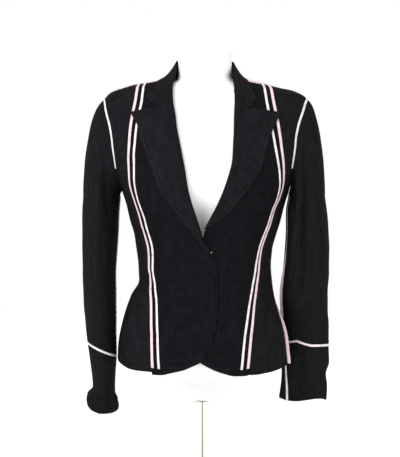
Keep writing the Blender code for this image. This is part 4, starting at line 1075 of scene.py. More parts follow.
def looks():
    """The scene's materials, made once."""
    if not LOOKS:
        colours = bpy.context.scene.blazer_colours
        weave = weave_group()
        LOOKS["cloth"] = woven_cloth("slubbed_cloth", weave, tuple(colours.cloth))
        # The fronts get a darker copy of the same cloth: painted shade.
        LOOKS["front_cloth"] = woven_cloth("slubbed_cloth_fronts_painted_shade", weave, tuple(colours.front_cloth))
        LOOKS["rose"] = satin("rose_satin", tuple(colours.rose_ribbon), tuple(colours.ribbon_shade))
        LOOKS["pale"] = satin("pale_satin", tuple(colours.pale_ribbon), tuple(colours.ribbon_shade))
        for name in ("dark_thread", "pale_thread", "loose_yarn"):
            LOOKS[name] = thread(name, tuple(getattr(colours, name)))
        LOOKS["shell"] = moulded_shell("painted_shell", tuple(colours.form))
        LOOKS["chrome"] = polished_chrome("polished_chrome", tuple(colours.chrome))
        LOOKS["tube"] = tube_with_painted_reflection("polished_tube", tuple(colours.chrome), tuple(colours.tube_painted_reflection))
    return LOOKS


# --- Stitches -------------------------------------------------------------------------------------------

def stitch_tree():
    """Geometry Nodes: one raised thread on each point, turned along its row and lying on the cloth."""
    tree = bpy.data.node_groups.new("Stitch row", "GeometryNodeTree")
    group_socket(tree, "Geometry", "NodeSocketGeometry", "INPUT")
    group_socket(tree, "Stitch Length", "NodeSocketFloat", "INPUT", STITCH["length"])
    group_socket(tree, "Thread Thickness", "NodeSocketFloat", "INPUT", STITCH["thickness"])
    group_socket(tree, "Thread", "NodeSocketMaterial", "INPUT")
    group_socket(tree, "Geometry", "NodeSocketGeometry", "OUTPUT")
    start, end = new_node(tree, "NodeGroupInput", (-900, 0)), new_node(tree, "NodeGroupOutput", (900, 0))
    bead = new_node(tree, "GeometryNodeMeshUVSphere", (-700, 200))
    bead.inputs["Segments"].default_value = 6
    bead.inputs["Rings"].default_value = 4
    bead.inputs["Radius"].default_value = 0.5
    size = new_node(tree, "ShaderNodeCombineXYZ", (-700, -100))
    link(tree, start.outputs["Thread Thickness"], size.inputs[0])
    link(tree, start.outputs["Thread Thickness"], size.inputs[1])
    link(tree, start.outputs["Stitch Length"], size.inputs[2])
    shape = new_node(tree, "GeometryNodeTransform", (-500, 200))
    shape.inputs["Rotation"].default_value = (0, math.pi / 2, 0)
    link(tree, bead.outputs["Mesh"], shape.inputs["Geometry"])
    link(tree, size.outputs[0], shape.inputs["Scale"])
    smooth = new_node(tree, "GeometryNodeSetShadeSmooth", (-300, 200))
    link(tree, shape.outputs[0], smooth.inputs["Geometry"])
    turns = []
    for name in ("along", "out"):
        read = new_node(tree, "GeometryNodeInputNamedAttribute", (-700, -300), data_type="FLOAT_VECTOR")
        read.inputs["Name"].default_value = name
        turns.append(read.outputs["Attribute"])
    first = new_node(tree, "FunctionNodeAlignRotationToVector", (-300, -300), axis="X")
    second = new_node(tree, "FunctionNodeAlignRotationToVector", (-100, -300), axis="Z", pivot_axis="X")
    link(tree, turns[0], first.inputs["Vector"])
    link(tree, first.outputs[0], second.inputs["Rotation"])
    link(tree, turns[1], second.inputs["Vector"])
    place = new_node(tree, "GeometryNodeInstanceOnPoints", (100, 0))
    link(tree, start.outputs["Geometry"], place.inputs["Points"])
    link(tree, smooth.outputs[0], place.inputs["Instance"])
    link(tree, second.outputs[0], place.inputs["Rotation"])
    real = new_node(tree, "GeometryNodeRealizeInstances", (300, 0))
    paint = new_node(tree, "GeometryNodeSetMaterial", (500, 0))
    link(tree, place.outputs[0], real.inputs["Geometry"])
    link(tree, real.outputs[0], paint.inputs["Geometry"])
    link(tree, start.outputs["Thread"], paint.inputs["Material"])
    link(tree, paint.outputs[0], end.inputs["Geometry"])
    return tree


def stitch_points(line, out, pitch):
    """Even places along a line, with the direction of the line and of the cloth's outside at each."""
    reach = reach_of(line)
    count = max(2, int(reach[-1] / pitch))
    at = (np.arange(count) + 0.5) / count * reach[-1]

    def read(values, where):
        return np.stack([np.interp(where, reach, values[:, k]) for k in range(3)], -1)

    half = 0.3 * pitch
    along = unit(read(line, np.minimum(at + half, reach[-1])) - read(line, np.maximum(at - half, 0)))
    return read(line, at), along, unit(read(out, at))


def topstitch():
    """The topstitching's own sizes, as they are set in the panel."""
    sizes = bpy.context.scene.blazer_sizes
    return {"length": sizes.stitch_length, "thickness": sizes.thread_thickness, "pitch": sizes.stitch_pitch}


def add_stitches(name, rows, look, size):
    """One mesh of stitches along several rows of (line, outward directions)."""
    found = [stitch_points(line, out, size["pitch"]) for line, out in rows]
    points, along, out = (np.concatenate([row[k] for row in found]) for k in range(3))
    return add_threads(name, points, along, out, look, size["length"], size["thickness"])


def add_threads(name, points, along, out, look, length, thickness):
    """One mesh with a short thread at each point."""
    points = points + np.array((GARMENT_X, 0, 0))
    seeds = bpy.data.meshes.new(name + "_seeds")
    seeds.from_pydata(points.tolist(), [], [])
    for key, values in (("along", along), ("out", out)):
        attribute = seeds.attributes.new(key, "FLOAT_VECTOR", "POINT")
        attribute.data.foreach_set("vector", values.astype(np.float32).ravel())
    holder = add_object(name + "_seeds", seeds)
    tree = bpy.data.node_groups.get("Stitch row") or stitch_tree()
    modifier = holder.modifiers.new("Stitches", "NODES")
    modifier.node_group = tree
    values = {"Stitch Length": length, "Thread": look, "Thread Thickness": thickness}
    for socket in tree.interface.items_tree:
        if socket.in_out == "INPUT" and socket.name in values:
            modifier[socket.identifier] = values[socket.name]
    graph = bpy.context.evaluated_depsgraph_get()
    mesh = bpy.data.meshes.new_from_object(holder.evaluated_get(graph), depsgraph=graph)
    bpy.data.objects.remove(holder, do_unlink=True)
    mesh.name = name
    return add_object(name, mesh)


def offset_line(points, distance, edge):
    """The line at a distance in from one edge of a grid of points, and where it lies as column shares."""
    away = edge_distances(points)[edge]
    grid = points
    if edge in ("bottom", "top"):
        away, grid = away.T, points.swapaxes(0, 1)
    if edge in ("right", "top"):
        away, grid = away[:, ::-1], grid[:, ::-1]
    return np.array([[np.interp(distance, row, line[:, k]) for k in range(3)]
                     for row, line in zip(away, grid)])


# --- Finishing a piece ----------------------------------------------------------------------------------

def finish_piece(piece, nodes=()):
    """Fixes a piece to the model's body and hides the imported parts that it stands for."""
    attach(piece, "root")
    if nodes:
        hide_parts(*nodes)
    return piece


def cut_of(grid, ring=False):
    """The flat size and area of a piece of cloth, from the grid it was draped over."""
    wide = closed(grid) if ring else grid
    width = reach_across(wide)[:, -1].max()
    length = reach_across(wide.swapaxes(0, 1))[:, -1].max()
    across, along = wide[:-1, 1:] - wide[:-1, :-1], wide[1:, :-1] - wide[:-1, :-1]
    area = np.linalg.norm(np.cross(across, along), axis=-1).sum()
    return (float(width), float(length)), float(min(area, width * length))


def declare(grid, ring=False):
    flat, area = cut_of(grid, ring)


EXTRAS = {}


def sewn_to(node, piece, nodes=()):
    """Finishes a ribbon or a row of stitches and remembers it, because it goes with a piece of cloth."""
    EXTRAS.setdefault(node, []).append(finish_piece(piece, nodes))


# --- Fronts, side fronts and backs ----------------------------------------------------------------------

def front_surface(side, s, v):
    """A front at these shares: its points, its outward directions and its height over the body."""
    panel = PANELS["front", side]
    points = panel.points(s, v)
    return points, body_normal(points), overlap_lift(side, points) + body_folds(points)


def make_front(side):
    """A front, which ends inside the fold of its lapel along the roll line, with its topstitching."""
    name = "front_" + NAMES[side]
    panel = PANELS["front", side]
    v = rows_through(panel.marks, panel.lines[0].length)
    width = panel.width(v)
    start, end = panel.marks[1] + 0.015, panel.marks[2] - 0.01
    trim = LAPEL_TRIM * smooth_step((v - start) / 0.03) * (1 - smooth_step((v - end) / 0.03))
    s = seam_columns(width - trim) * ((width - trim) / width)[:, None]
    points, normal, height = front_surface(side, s, v)
    points = pull_in(points)
    # The fronts' cloth is the darker copy, painted shade.
    piece = shaped_wall(name + "_cloth", points, normal, height, looks()["front_cloth"],
                        free=("right", "bottom"), seams=("left", "top"))
    finish_piece(piece, [name])
    outer = points + normal * height[..., None]
    below_lapel = slice(0, int(np.searchsorted(v, panel.marks[1] + 0.02)))
    rows = [(offset_line(outer, distance, "right")[below_lapel], normal[below_lapel, -1])
            for distance in TOPSTITCH_ROWS]
    rows.append((offset_line(outer, TOPSTITCH_ROWS[1], "bottom"), normal[0]))
    sewn_to(name, add_stitches(name + "_topstitch", rows, looks()["dark_thread"], topstitch()))
    return piece, points, name


def make_hung_panel(kind, side):
    """A side front or a back, which has seams all round but for its hem."""
    name = kind + "_" + NAMES[side]
    panel = PANELS[kind, side]
    v = rows_through(panel.marks, panel.lines[1].length)
    points = panel.points(seam_columns(panel.width(v)), v)
    normal = body_normal(points)
    points = pull_in(points)
    piece = shaped_wall(name + "_cloth", points, normal, body_folds(points), looks()["cloth"],
                        free=("bottom",), seams=("left", "right", "top"))
    finish_piece(piece, [name])
    return piece, points, name


# --- Ribbons --------------------------------------------------------------------------------------------

def lay_ribbon(node, outer, inner, look, rows, goes_with, ring=False):
    """One ribbon between its upper and lower face, with its rows of stitches."""
    piece = add_wall(node + "_satin", outer, inner, look, ring)
    sewn_to(goes_with, piece, [node])
    stitches = add_stitches(node + "_stitches", rows, looks()["pale_thread"], RIBBON_THREAD)
    sewn_to(goes_with, stitches)


def ribbon_wall(node, points, normal, height, look, goes_with):
    """A satin ribbon on a strip of points: crowned, rippled and stitched along both edges."""
    away = edge_distances(points)
    half = np.maximum((away["left"] + away["right"]) / 2, 0.1 * MM)
    off = (away["left"] / half - 1) ** 2
    thickness = RIBBON * (1 - RIBBON_CROWN * off ** 2)
    run = away["bottom"]
    ripple = RIBBON_RIPPLE["height"] * np.sin(run / RIBBON_RIPPLE["wave"] * 2 * math.pi
                                              + 1.5 * np.sin(run / (2.7 * RIBBON_RIPPLE["wave"])))
    lay = height + LAY * 0.6
    top = lay + thickness + ripple * (1 - off)
    outer = points + normal * top[..., None]
    inner = points + normal * lay[..., None]
    rows = [(offset_line(outer, RIBBON_STITCH_IN, edge), normal[:, 0]) for edge in ("left", "right")]
    lay_ribbon(node, outer, inner, look, rows, goes_with)
    return outer


def strip_shares(width, start, end):
    """Column shares of a strip between two distances from a panel's left edge, for each of its rows."""
    t = np.linspace(0, 1, RIBBON_COLUMNS)
    start, end = np.broadcast_to(start, width.shape), np.broadcast_to(end, width.shape)
    return (start[:, None] + (end - start)[:, None] * t) / width[:, None]


def make_princess_ribbons(side):
    """The two ribbons down a front beside its princess seam, and the tacks across them."""
    panel = PANELS["front", side]
    v = np.linspace(RIBBON_START_SHARE, 1 - 0.6 * MM / panel.lines[0].length, 170)
    width = panel.width(v)
    centre = coons(*panel.lines, np.zeros((len(v), 1)), v[:, None])[:, 0, 2]
    gaps = Curve([row[0] * MM for row in PRINCESS],
                 [row[PRINCESS_COLUMNS.index(NAMES[side] + "_gap")] * MM for row in PRINCESS])
    middle, half = gaps(centre), RIBBON_WIDTHS["inner"] / 2
    for kind, start, end, look in (("outer", HALF_SEAM, RIBBON_WIDTHS["outer"], "rose"),
                                   ("inner", middle - half, middle + half, "pale")):
        s = strip_shares(width, start, end)
        points, normal, height = front_surface(side, s, v)
        node = f"princess_ribbon_{kind}_{NAMES[side]}"
        outer = ribbon_wall(node, points, normal, height, looks()[look], "front_" + NAMES[side])
        add_tacks(node, side, outer, normal)


def add_tacks(node, side, outer, normal):
    """Short dark stitches that cross a ribbon where the pieces of its front are tacked together."""
    rows = []
    for z in RIBBON_TACKS[side]:
        row = int(np.argmin(abs(outer[:, 3, 2] - z)))
        rows.append((outer[row], normal[row]))
    tacks = add_stitches(node + "_tacks", rows, looks()["dark_thread"], TACK_THREAD)
    sewn_to("front_" + NAMES[side], tacks)


def edge_strip(panel, v, width, flare=0.0):
    """A strip of the given width along a panel's right edge; where it flares, it faces the camera."""
    line = panel.lines[1]
    reach = 0.3 * MM / line.length
    on_seam = on_body(line(v))
    along = unit(line(np.minimum(v + reach, 1)) - line(np.maximum(v - reach, 0)))
    normal = body_normal(on_seam)
    inward = unit(np.cross(normal, along))
    into = panel.points(np.full((len(v), 1), 0.9), v)[:, 0] - on_seam
    inward *= np.sign((inward * into).sum(-1, keepdims=True))
    away = np.linspace(HALF_SEAM, width, RIBBON_COLUMNS)
    points = on_body(on_seam[:, None] + inward[:, None] * away[None, :, None])
    normals = body_normal(points)
    if np.any(flare):
        amount = np.broadcast_to(flare, v.shape)[:, None, None]
        outward = unit(np.array((1.0, 0.10, 0.0)))
        facing = unit(np.cross(outward, along))
        facing *= -np.sign(facing[:, 1:2])
        flat = on_seam[:, None] + outward * away[None, :, None]
        points = points * (1 - amount) + flat * amount
        normals = unit(normals * (1 - amount) + facing[:, None] * amount)
    return points, normals


def body_ribbon(node, panel, v, width, look, goes_with, flare=0.0):
    """A ribbon along a panel's right edge; where it flares, the cloth's folds no longer move it."""
    points, normal = edge_strip(panel, v, width, flare)
    height = body_folds(points) * (1 - np.broadcast_to(flare, v.shape)[:, None])
    ribbon_wall(node, points, normal, height, looks()[look], goes_with)


def shoulder_ribbon(side):
    """The ribbon along a shoulder seam, which wraps a little over the top of the shoulder."""
    line = ridge_path(side, NECK_POINT_X + 12 * MM, SHOULDER_TIP_X - 1 * MM)
    v = np.linspace(0, 1, 70)
    wrap = SHOULDER_WRAP[0] + (SHOULDER_WRAP[1] - SHOULDER_WRAP[0]) * v
    back_edge = np.linspace(0, 1, 9)
    across = (RIBBON_WIDTHS["shoulder"] + RIBBON_SHOULDER_SPREAD) * back_edge[None] - wrap[:, None]
    points = line(v)[:, None] + across[..., None] * np.array((0, 1.0, 0))
    points = on_body(points)
    normal = body_normal(points)
    up = np.array((0, 0, 1.0))
    near = np.exp(-(across / (4 * MM)) ** 2)[..., None]
    normal = unit(normal * (1 - near) + up * near)
    stand = SHOULDER_STAND[side]
    rise = stand["height"] * (smooth_step((v - stand["from"]) / 0.1) * smooth_step((stand["to"] - v) / 0.15))
    height = body_folds(points) + 0.5 * MM + rise[:, None] * back_edge
    name = NAMES[side]
    ribbon_wall("shoulder_ribbon_" + name, points, normal, height, looks()["rose"], "back_" + name)


def make_body_ribbons(side):
    """The ribbons along a side seam, round an armhole and along a shoulder."""
    name = NAMES[side]
    back, side_front = PANELS["back", side], PANELS["side_front", side]
    foot = {half: SIDE_SEAM_SHARE + (1 - SIDE_SEAM_SHARE) * share
            for half, share in ARMHOLE_RIBBON_START.items()}
    v = np.linspace(0.002, SIDE_SEAM_SHARE, 110)
    z = back.lines[1](v)[:, 2]
    flare = smooth_step((SIDE_SWING["top"] - z) / (70 * MM)) if side == LEFT else 0.0
    body_ribbon("side_ribbon_" + name, back, v, RIBBON_WIDTHS["side"], "rose", "back_" + name, flare)
    body_ribbon("armhole_ribbon_back_" + name, back, np.linspace(foot["back"], 0.985, 70),
                RIBBON_WIDTHS["armhole"], "pale", "back_" + name)
    body_ribbon("armhole_ribbon_front_" + name, side_front, np.linspace(foot["front"], 0.995, 70),
                ARMHOLE_RIBBON_WIDTH, "pale", "side_front_" + name)
    shoulder_ribbon(side)


# --- Sleeves --------------------------------------------------------------------------------------------

def sleeve_ring(side, angle, z):
    """Points of a sleeve's ring: 0 degrees is ahead, 90 outwards and -90 towards the body."""
    at = SLEEVE_AT[side]
    turn = np.radians(angle)
    middle, half = (at["outer"](z) + at["inner"](z)) / 2, (at["outer"](z) - at["inner"](z)) / 2
    out, drop = 0, 0
    if side == RIGHT:
        gathered = smooth_step((CUFF_GATHERS["top"] - z) / (CUFF_GATHERS["top"] - CUFF_GATHERS["full"]))
        out = CUFF_GATHERS["rise"] * gathered * gather_wave(turn, z)
    else:
        low = smooth_step((CUFF_WAVE["top"] - z) / (CUFF_WAVE["top"] - SLEEVE_END_Z[LEFT]))
        drop = CUFF_WAVE["rise"] * low * np.cos(CUFF_WAVE["count"] * turn + 1.2)
    x = side * (middle + (half + out) * np.sin(turn))
    y = -at["ahead"](z) - (at["deep"](z) + out) * np.cos(turn)
    return np.stack(np.broadcast_arrays(x, y, z + at["rise"](z) / 2 * np.sin(turn) - drop), axis=-1)


def gather_wave(turn, z):
    """The gathers of a cuff: uneven in width and height, and wandering a little on their way down."""
    wander = turn + 0.05 * np.sin(5 * turn + z / (9 * MM)) + 0.03 * np.sin(11 * turn)
    main = np.cos(CUFF_GATHERS["count"] * wander + 1.4 * np.sin(4 * turn + z / (7 * MM)))
    uneven = 0.65 + 0.35 * np.sin(3 * turn + 1) + 0.25 * np.sin(7 * turn - z / (11 * MM))
    return main * uneven + 0.25 * np.cos(2 * CUFF_GATHERS["count"] * wander + 2 * turn)


def armhole_ring(side, angle):
    """The armhole's points by the angle of the sleeve's line that starts there."""
    turn = (np.asarray(angle) + 90) % 360
    front, back = ARMHOLES[side]
    return np.where((turn < 180)[..., None], front(np.clip(turn / 180, 0, 1)),
                    back(np.clip(2 - turn / 180, 0, 1)))


def sleeve_point(side, angle, level):
    """A sleeve's surface: level 0 is the armhole, 1 the biceps, 2 the cuff's seam and 3 its end."""
    angle, level = np.broadcast_arrays(angle, level)
    z = np.interp(level, (1, 2, 3), (BICEPS_Z, CUFF_SEAM_Z[side], SLEEVE_END_Z[side]))
    ring = sleeve_ring(side, angle, z)
    leave = np.array((side * SLEEVE_LEAVE[0], 0, SLEEVE_LEAVE[1]))
    start = armhole_ring(side, angle) + leave * ARMHOLE_GAP
    t = np.clip(level, 0, 1)[..., None]
    chord = np.linalg.norm(ring - start, axis=-1, keepdims=True)
    cap = (start * (1 + 2 * t) * (1 - t) ** 2 + ring * t * t * (3 - 2 * t)
           + chord * (CAP_SPRING[side] * leave * t * (1 - t) ** 2 - np.array((0, 0, -1.0)) * t * t * (1 - t)))
    return np.where(level[..., None] < 1, cap, ring)


def sleeve_normal(side, angle, level):
    """Outward from the sleeve; along the armhole it turns to the body's normal, as in a mitred seam."""
    level = np.clip(level, 0, 3)
    around = sleeve_point(side, angle + 0.5, level) - sleeve_point(side, angle - 0.5, level)
    down = (sleeve_point(side, angle, np.minimum(level + 0.01, 3))
            - sleeve_point(side, angle, np.maximum(level - 0.01, 0)))
    normal = unit(-side * np.cross(around, down))
    seam = body_normal(armhole_ring(side, angle))
    agree = smooth_step(((normal * seam).sum(-1) - 0.1) / 0.5) * (1 - smooth_step(level / 0.15))
    return unit(normal * (1 - agree[..., None]) + seam * agree[..., None])


def seam_angle(ends, level):
    """A seam's angle at each level; it wanders from the armhole to the arm."""
    return ends[0] + (ends[1] - ends[0]) * smooth_step(level)


def ribbon_turn(side, levels):
    """The angle that a sleeve's seam ribbon takes at each level."""
    z = np.interp(levels, (1, 2, 3), (BICEPS_Z, CUFF_SEAM_Z[side], SLEEVE_END_Z[side]))
    return np.degrees(RIBBON_WIDTHS["sleeve"] / SLEEVE_AT[side]["deep"](z))


def sleeve_surface(side, angles, levels):
    """A sleeve or cuff at these angles and levels: its points, its outward directions and its folds."""
    level = np.repeat(np.asarray(levels)[:, None], angles.shape[1], axis=1)
    points, normal = sleeve_point(side, angles, level), sleeve_normal(side, angles, level)
    height = sleeve_folds(side, points, normal) * smooth_step(level / 0.12)
    if side == LEFT:
        table = np.array(CUFF_LINE_BEND) * MM
        near = np.exp(-((points[..., 2] - CUFF_SEAM_Z[LEFT]) / CUFF_LINE_REACH) ** 2)
        bend = np.interp(seen(points)[0], table[:, 0], table[:, 1]) * near
        points[..., 2] += bend * smooth_step((0.15 - normal[..., 1]) / 0.5)
        off = (angles - SLEEVE_TUCK["angle"]) / SLEEVE_TUCK["spread"]
        below = smooth_step((level - 0.75) / 0.3) * smooth_step((3.1 - level) / 0.4)
        height = height - SLEEVE_TUCK["depth"] * np.exp(-off ** 2) * below
    return points, normal, height


def make_sleeve(side):
    """The under and the upper piece of a sleeve, between its two seams."""
    levels = np.concatenate((np.linspace(0, 1, CAP_LEVELS)[:-1], np.linspace(1, 2, ARM_LEVELS)))
    front, back = seam_angle(FRONT_ARM_ANGLE, levels), seam_angle(UNDER_ARM_ANGLE[side], levels)
    made = []
    for kind, start, end, count in (("under_sleeve_", back, front, UNDER_COLUMNS),
                                    ("upper_sleeve_", front, back + 360, UPPER_COLUMNS)):
        name = kind + NAMES[side]
        angles = start[:, None] + (end - start)[:, None] * np.linspace(0, 1, count)
        points, normal, height = sleeve_surface(side, angles, levels)
        points = pull_in(points)
        piece = shaped_wall(name + "_cloth", points, normal, height, looks()["cloth"],
                            seams=("left", "right", "bottom", "top"))
        finish_piece(piece, [name])
        made.append((piece, points, name))
    return made


def sleeve_strip(start, turn):
    """The angles of a ribbon that starts at a seam, one row for each level."""
    return start[:, None] + turn[:, None] * np.linspace(0.02, 1, RIBBON_COLUMNS)


def standing_ribbon(levels):
    """The left sleeve's seam ribbon, which stands off the seam on the side of the body and faces ahead."""
    start = np.full((len(levels), 1), SLEEVE_STAND["angle"])
    base, out, height = sleeve_surface(LEFT, start, levels)
    base = base + out * (height + LAY)[..., None]
    grow = smooth_step((SLEEVE_STAND["from"] - base[:, 0, 2]) / SLEEVE_STAND["fade"])
    width = SLEEVE_STAND["thin"] + (SLEEVE_STAND["width"] - SLEEVE_STAND["thin"]) * grow
    away = -0.6 * MM + (width[:, None] + 0.6 * MM) * np.linspace(0, 1, RIBBON_COLUMNS)
    outward = unit(np.array((-1.0, 0.08, 0.0)))
    points = base + outward * away[..., None]
    normal = np.broadcast_to(np.array((0.0, -1.0, 0.0)), points.shape)
    return points, normal, np.zeros(points.shape[:2])


def make_sleeve_ribbons(side):
    """The ribbons along a sleeve's seam, round the top of its cuff and down the cuff."""
    name = NAMES[side]
    length = BICEPS_Z - CUFF_SEAM_Z[side]
    cuff_top = 2 - RIBBON_WIDTHS["cuff"] / length
    levels = np.linspace(1, cuff_top, 90)
    if side == LEFT:
        points, normal, height = standing_ribbon(levels)
    else:
        angles = sleeve_strip(seam_angle(UNDER_ARM_ANGLE[side], levels), ribbon_turn(side, levels))
        points, normal, height = sleeve_surface(side, angles, levels)
    ribbon_wall("sleeve_seam_ribbon_" + name, points, normal, height, looks()["rose"], "under_sleeve_" + name)
    levels = np.linspace(cuff_top, 1.999, 7)
    angles = np.repeat(np.linspace(0, 360, 121)[None, :-1] + UNDER_ARM_ANGLE[side][1], len(levels), axis=0)
    points, normal, height = sleeve_surface(side, angles, levels)
    ring_ribbon("cuff_ribbon_" + name, points, normal, height, looks()["pale"], "upper_sleeve_" + name)
    levels = np.linspace(2.004, 2.995, 46)
    top, end = CUFF_SEAM_ANGLE[side]
    start = top + (end - top) * (levels - 2)
    angles = sleeve_strip(start, ribbon_turn(side, levels))
    points, normal, height = sleeve_surface(side, angles, levels)
    ribbon_wall("cuff_seam_ribbon_" + name, points, normal, height, looks()["pale"], "cuff_" + name)


def ring_ribbon(node, points, normal, height, look, goes_with):
    """A ribbon all round a sleeve: crowned across, with both edges stitched."""
    rows = len(points)
    off = np.linspace(-1, 1, rows)[:, None] ** 2
    lay = height + LAY * 0.6
    top = lay + RIBBON * (1 - RIBBON_CROWN * off ** 2)
    outer, inner = points + normal * top[..., None], points + normal * lay[..., None]
    rows = [(closed(outer)[row], closed(normal)[row]) for row in (1, -2)]
    lay_ribbon(node, outer, inner, look, rows, goes_with, ring=True)


def make_cuff(side):
    """A cuff all round, gathered to its end on the right and wavy on the left."""
    name = "cuff_" + NAMES[side]
    count = 12 * CUFF_GATHERS["count"] if side == RIGHT else LEFT_CUFF_SIDES
    levels = np.concatenate(([2.0, 2.01, 2.02], np.linspace(2.04, 2.96, 44), [2.975, 2.985, 2.993, 3.0]))
    angles = np.repeat(np.linspace(0, 360, count + 1)[None, :-1], len(levels), axis=0)
    points, normal, height = sleeve_surface(side, angles, levels)
    points[0] += unit(points[1] - points[0]) * CUFF_GAP
    piece = shaped_wall(name + "_cloth", points, normal, height, looks()["cloth"], free=("top",),
                        seams=("bottom",), ring=True)
    finish_piece(piece, [name])
    fray_cuff(name, points[-1] + normal[-1] * (height[-1] - WALL / 2)[:, None], normal[-1])
    return piece, points, name


def fray_cuff(name, ring, out):
    """Loose yarns that stand out of a cuff's raw end, each at its own slant."""
    rng = np.random.default_rng(FRAY["seed"])
    count = FRAY["count"]
    at = (np.arange(count) + rng.uniform(-0.4, 0.4, count)) / count * len(ring)
    low = np.floor(at).astype(int) % len(ring)
    share = (at % 1)[:, None]
    high = (low + 1) % len(ring)
    points = ring[low] * (1 - share) + ring[high] * share
    outward = out[low]
    around = unit(ring[high] - ring[low])
    along = unit(np.array((0, 0, -1.0)) + outward * rng.uniform(-0.3, 0.5, (count, 1))
                 + around * rng.uniform(-0.8, 0.8, (count, 1)))
    points = points + along * FRAY["length"] * 0.3
    yarns = add_threads(name + "_fray", points, along, outward, looks()["loose_yarn"], FRAY["length"],
                        FRAY["thickness"])
    sewn_to(name, yarns)


# --- Lapels and collar ----------------------------------------------------------------------------------

def lapel_lift(side, grid, s):
    """The outer face of a lapel above the body: it clears the front and the ribbons, and rolls."""
    climb = smooth_step((grid[..., 2] - LAPEL_CLIMB["from"]) / LAPEL_CLIMB["fade"])
    base = LAPEL_LAY + CLOTH + (RIBBON + LAY) * climb
    roll = LAPEL_ROLL * smooth_step(s / 0.15) * (1 - s) ** 1.5
    return overlap_lift(side, grid) + base + roll


def make_lapel(side):
    """A lapel with the fold of its roll line, round the front's edge and on to the facing behind."""
    name = "lapel_" + NAMES[side]
    foot = LAPEL_FOOT[side]
    keys = [foot] + [key for key in ROLL_LINE[side] if key[1] > foot[1] + 5]
    roll, edge = Path(face_points(side, keys)), Path(face_points(side, LAPEL_EDGE[side]))
    bottom = Path([roll(0.0), edge(0.0)])
    gorge = Path(face_points(side, [ROLL_LINE[side][-1], NOTCH[side]]))
    top_edge = Path(face_points(side, [NOTCH[side], LAPEL_EDGE[side][-1]]))
    top = Chain((gorge, LAPEL_GORGE_SHARE), (top_edge, 1 - LAPEL_GORGE_SHARE))
    v = rows_through((0, 1), roll.length)
    panel = Panel((roll, edge, bottom, top), (0, 1))
    width = panel.width(v)
    s = np.concatenate((np.linspace(0, LAPEL_GORGE_SHARE, 9)[:-1], np.linspace(LAPEL_GORGE_SHARE, 1, 17)))
    s = np.broadcast_to(s, (len(v), len(s))).copy()
    points = panel.points(s, v)
    normal = body_normal(points)
    lift = lapel_lift(side, points, s) + 0.5 * body_folds(points)
    across = unit(points[:, 1] - points[:, 0])
    size = smooth_step(width / LAPEL_FULL)
    low = -WALL - LAY - WALL
    centre, radius = (lift[:, 0] + low) / 2, (lift[:, 0] - low) / 2
    fold, out = [], []
    for reach in (1.0, 0.55, 0.2):
        tail = ((LAPEL_TAIL * reach) * size + radius)[:, None]
        fold.append(points[:, 0] + across * tail + normal[:, 0] * low)
        out.append(-normal[:, 0])
    for turn in np.linspace(0, math.pi, 9)[:-1]:
        toward = -across * math.sin(turn) - normal[:, 0] * math.cos(turn)
        fold.append(points[:, 0] + across * radius[:, None] + normal[:, 0] * centre[:, None]
                    + toward * radius[:, None])
        out.append(toward)
    face = points + normal * lift[..., None]
    keep = s[0] * width.max() > LAPEL_FACE_FROM
    outer = np.concatenate((np.stack(fold, 1), face[:, keep]), axis=1)
    direction = np.concatenate((np.stack(out, 1), normal[:, keep]), axis=1)
    thick = rounded_edges(edge_distances(outer), ("right", "top", "bottom"))
    outer = outer - direction * ((WALL - thick) / 2)[..., None]
    piece = add_wall(name + "_cloth", outer, outer - direction * thick[..., None], looks()["cloth"])
    finish_piece(piece, [name])
    edge_topstitch(name, outer, direction, TOPSTITCH_ROWS)
    return piece, outer, name


def edge_topstitch(name, outer, normal, distances):
    """Rows of topstitching along the outer edge of a lapel or of the collar."""
    part = slice(TOPSTITCH_END, -TOPSTITCH_END)
    rows = [(offset_line(outer, distance, "right")[part], normal[part, -1]) for distance in distances]
    sewn_to(name, add_stitches(name + "_topstitch", rows, looks()["dark_thread"], topstitch()))


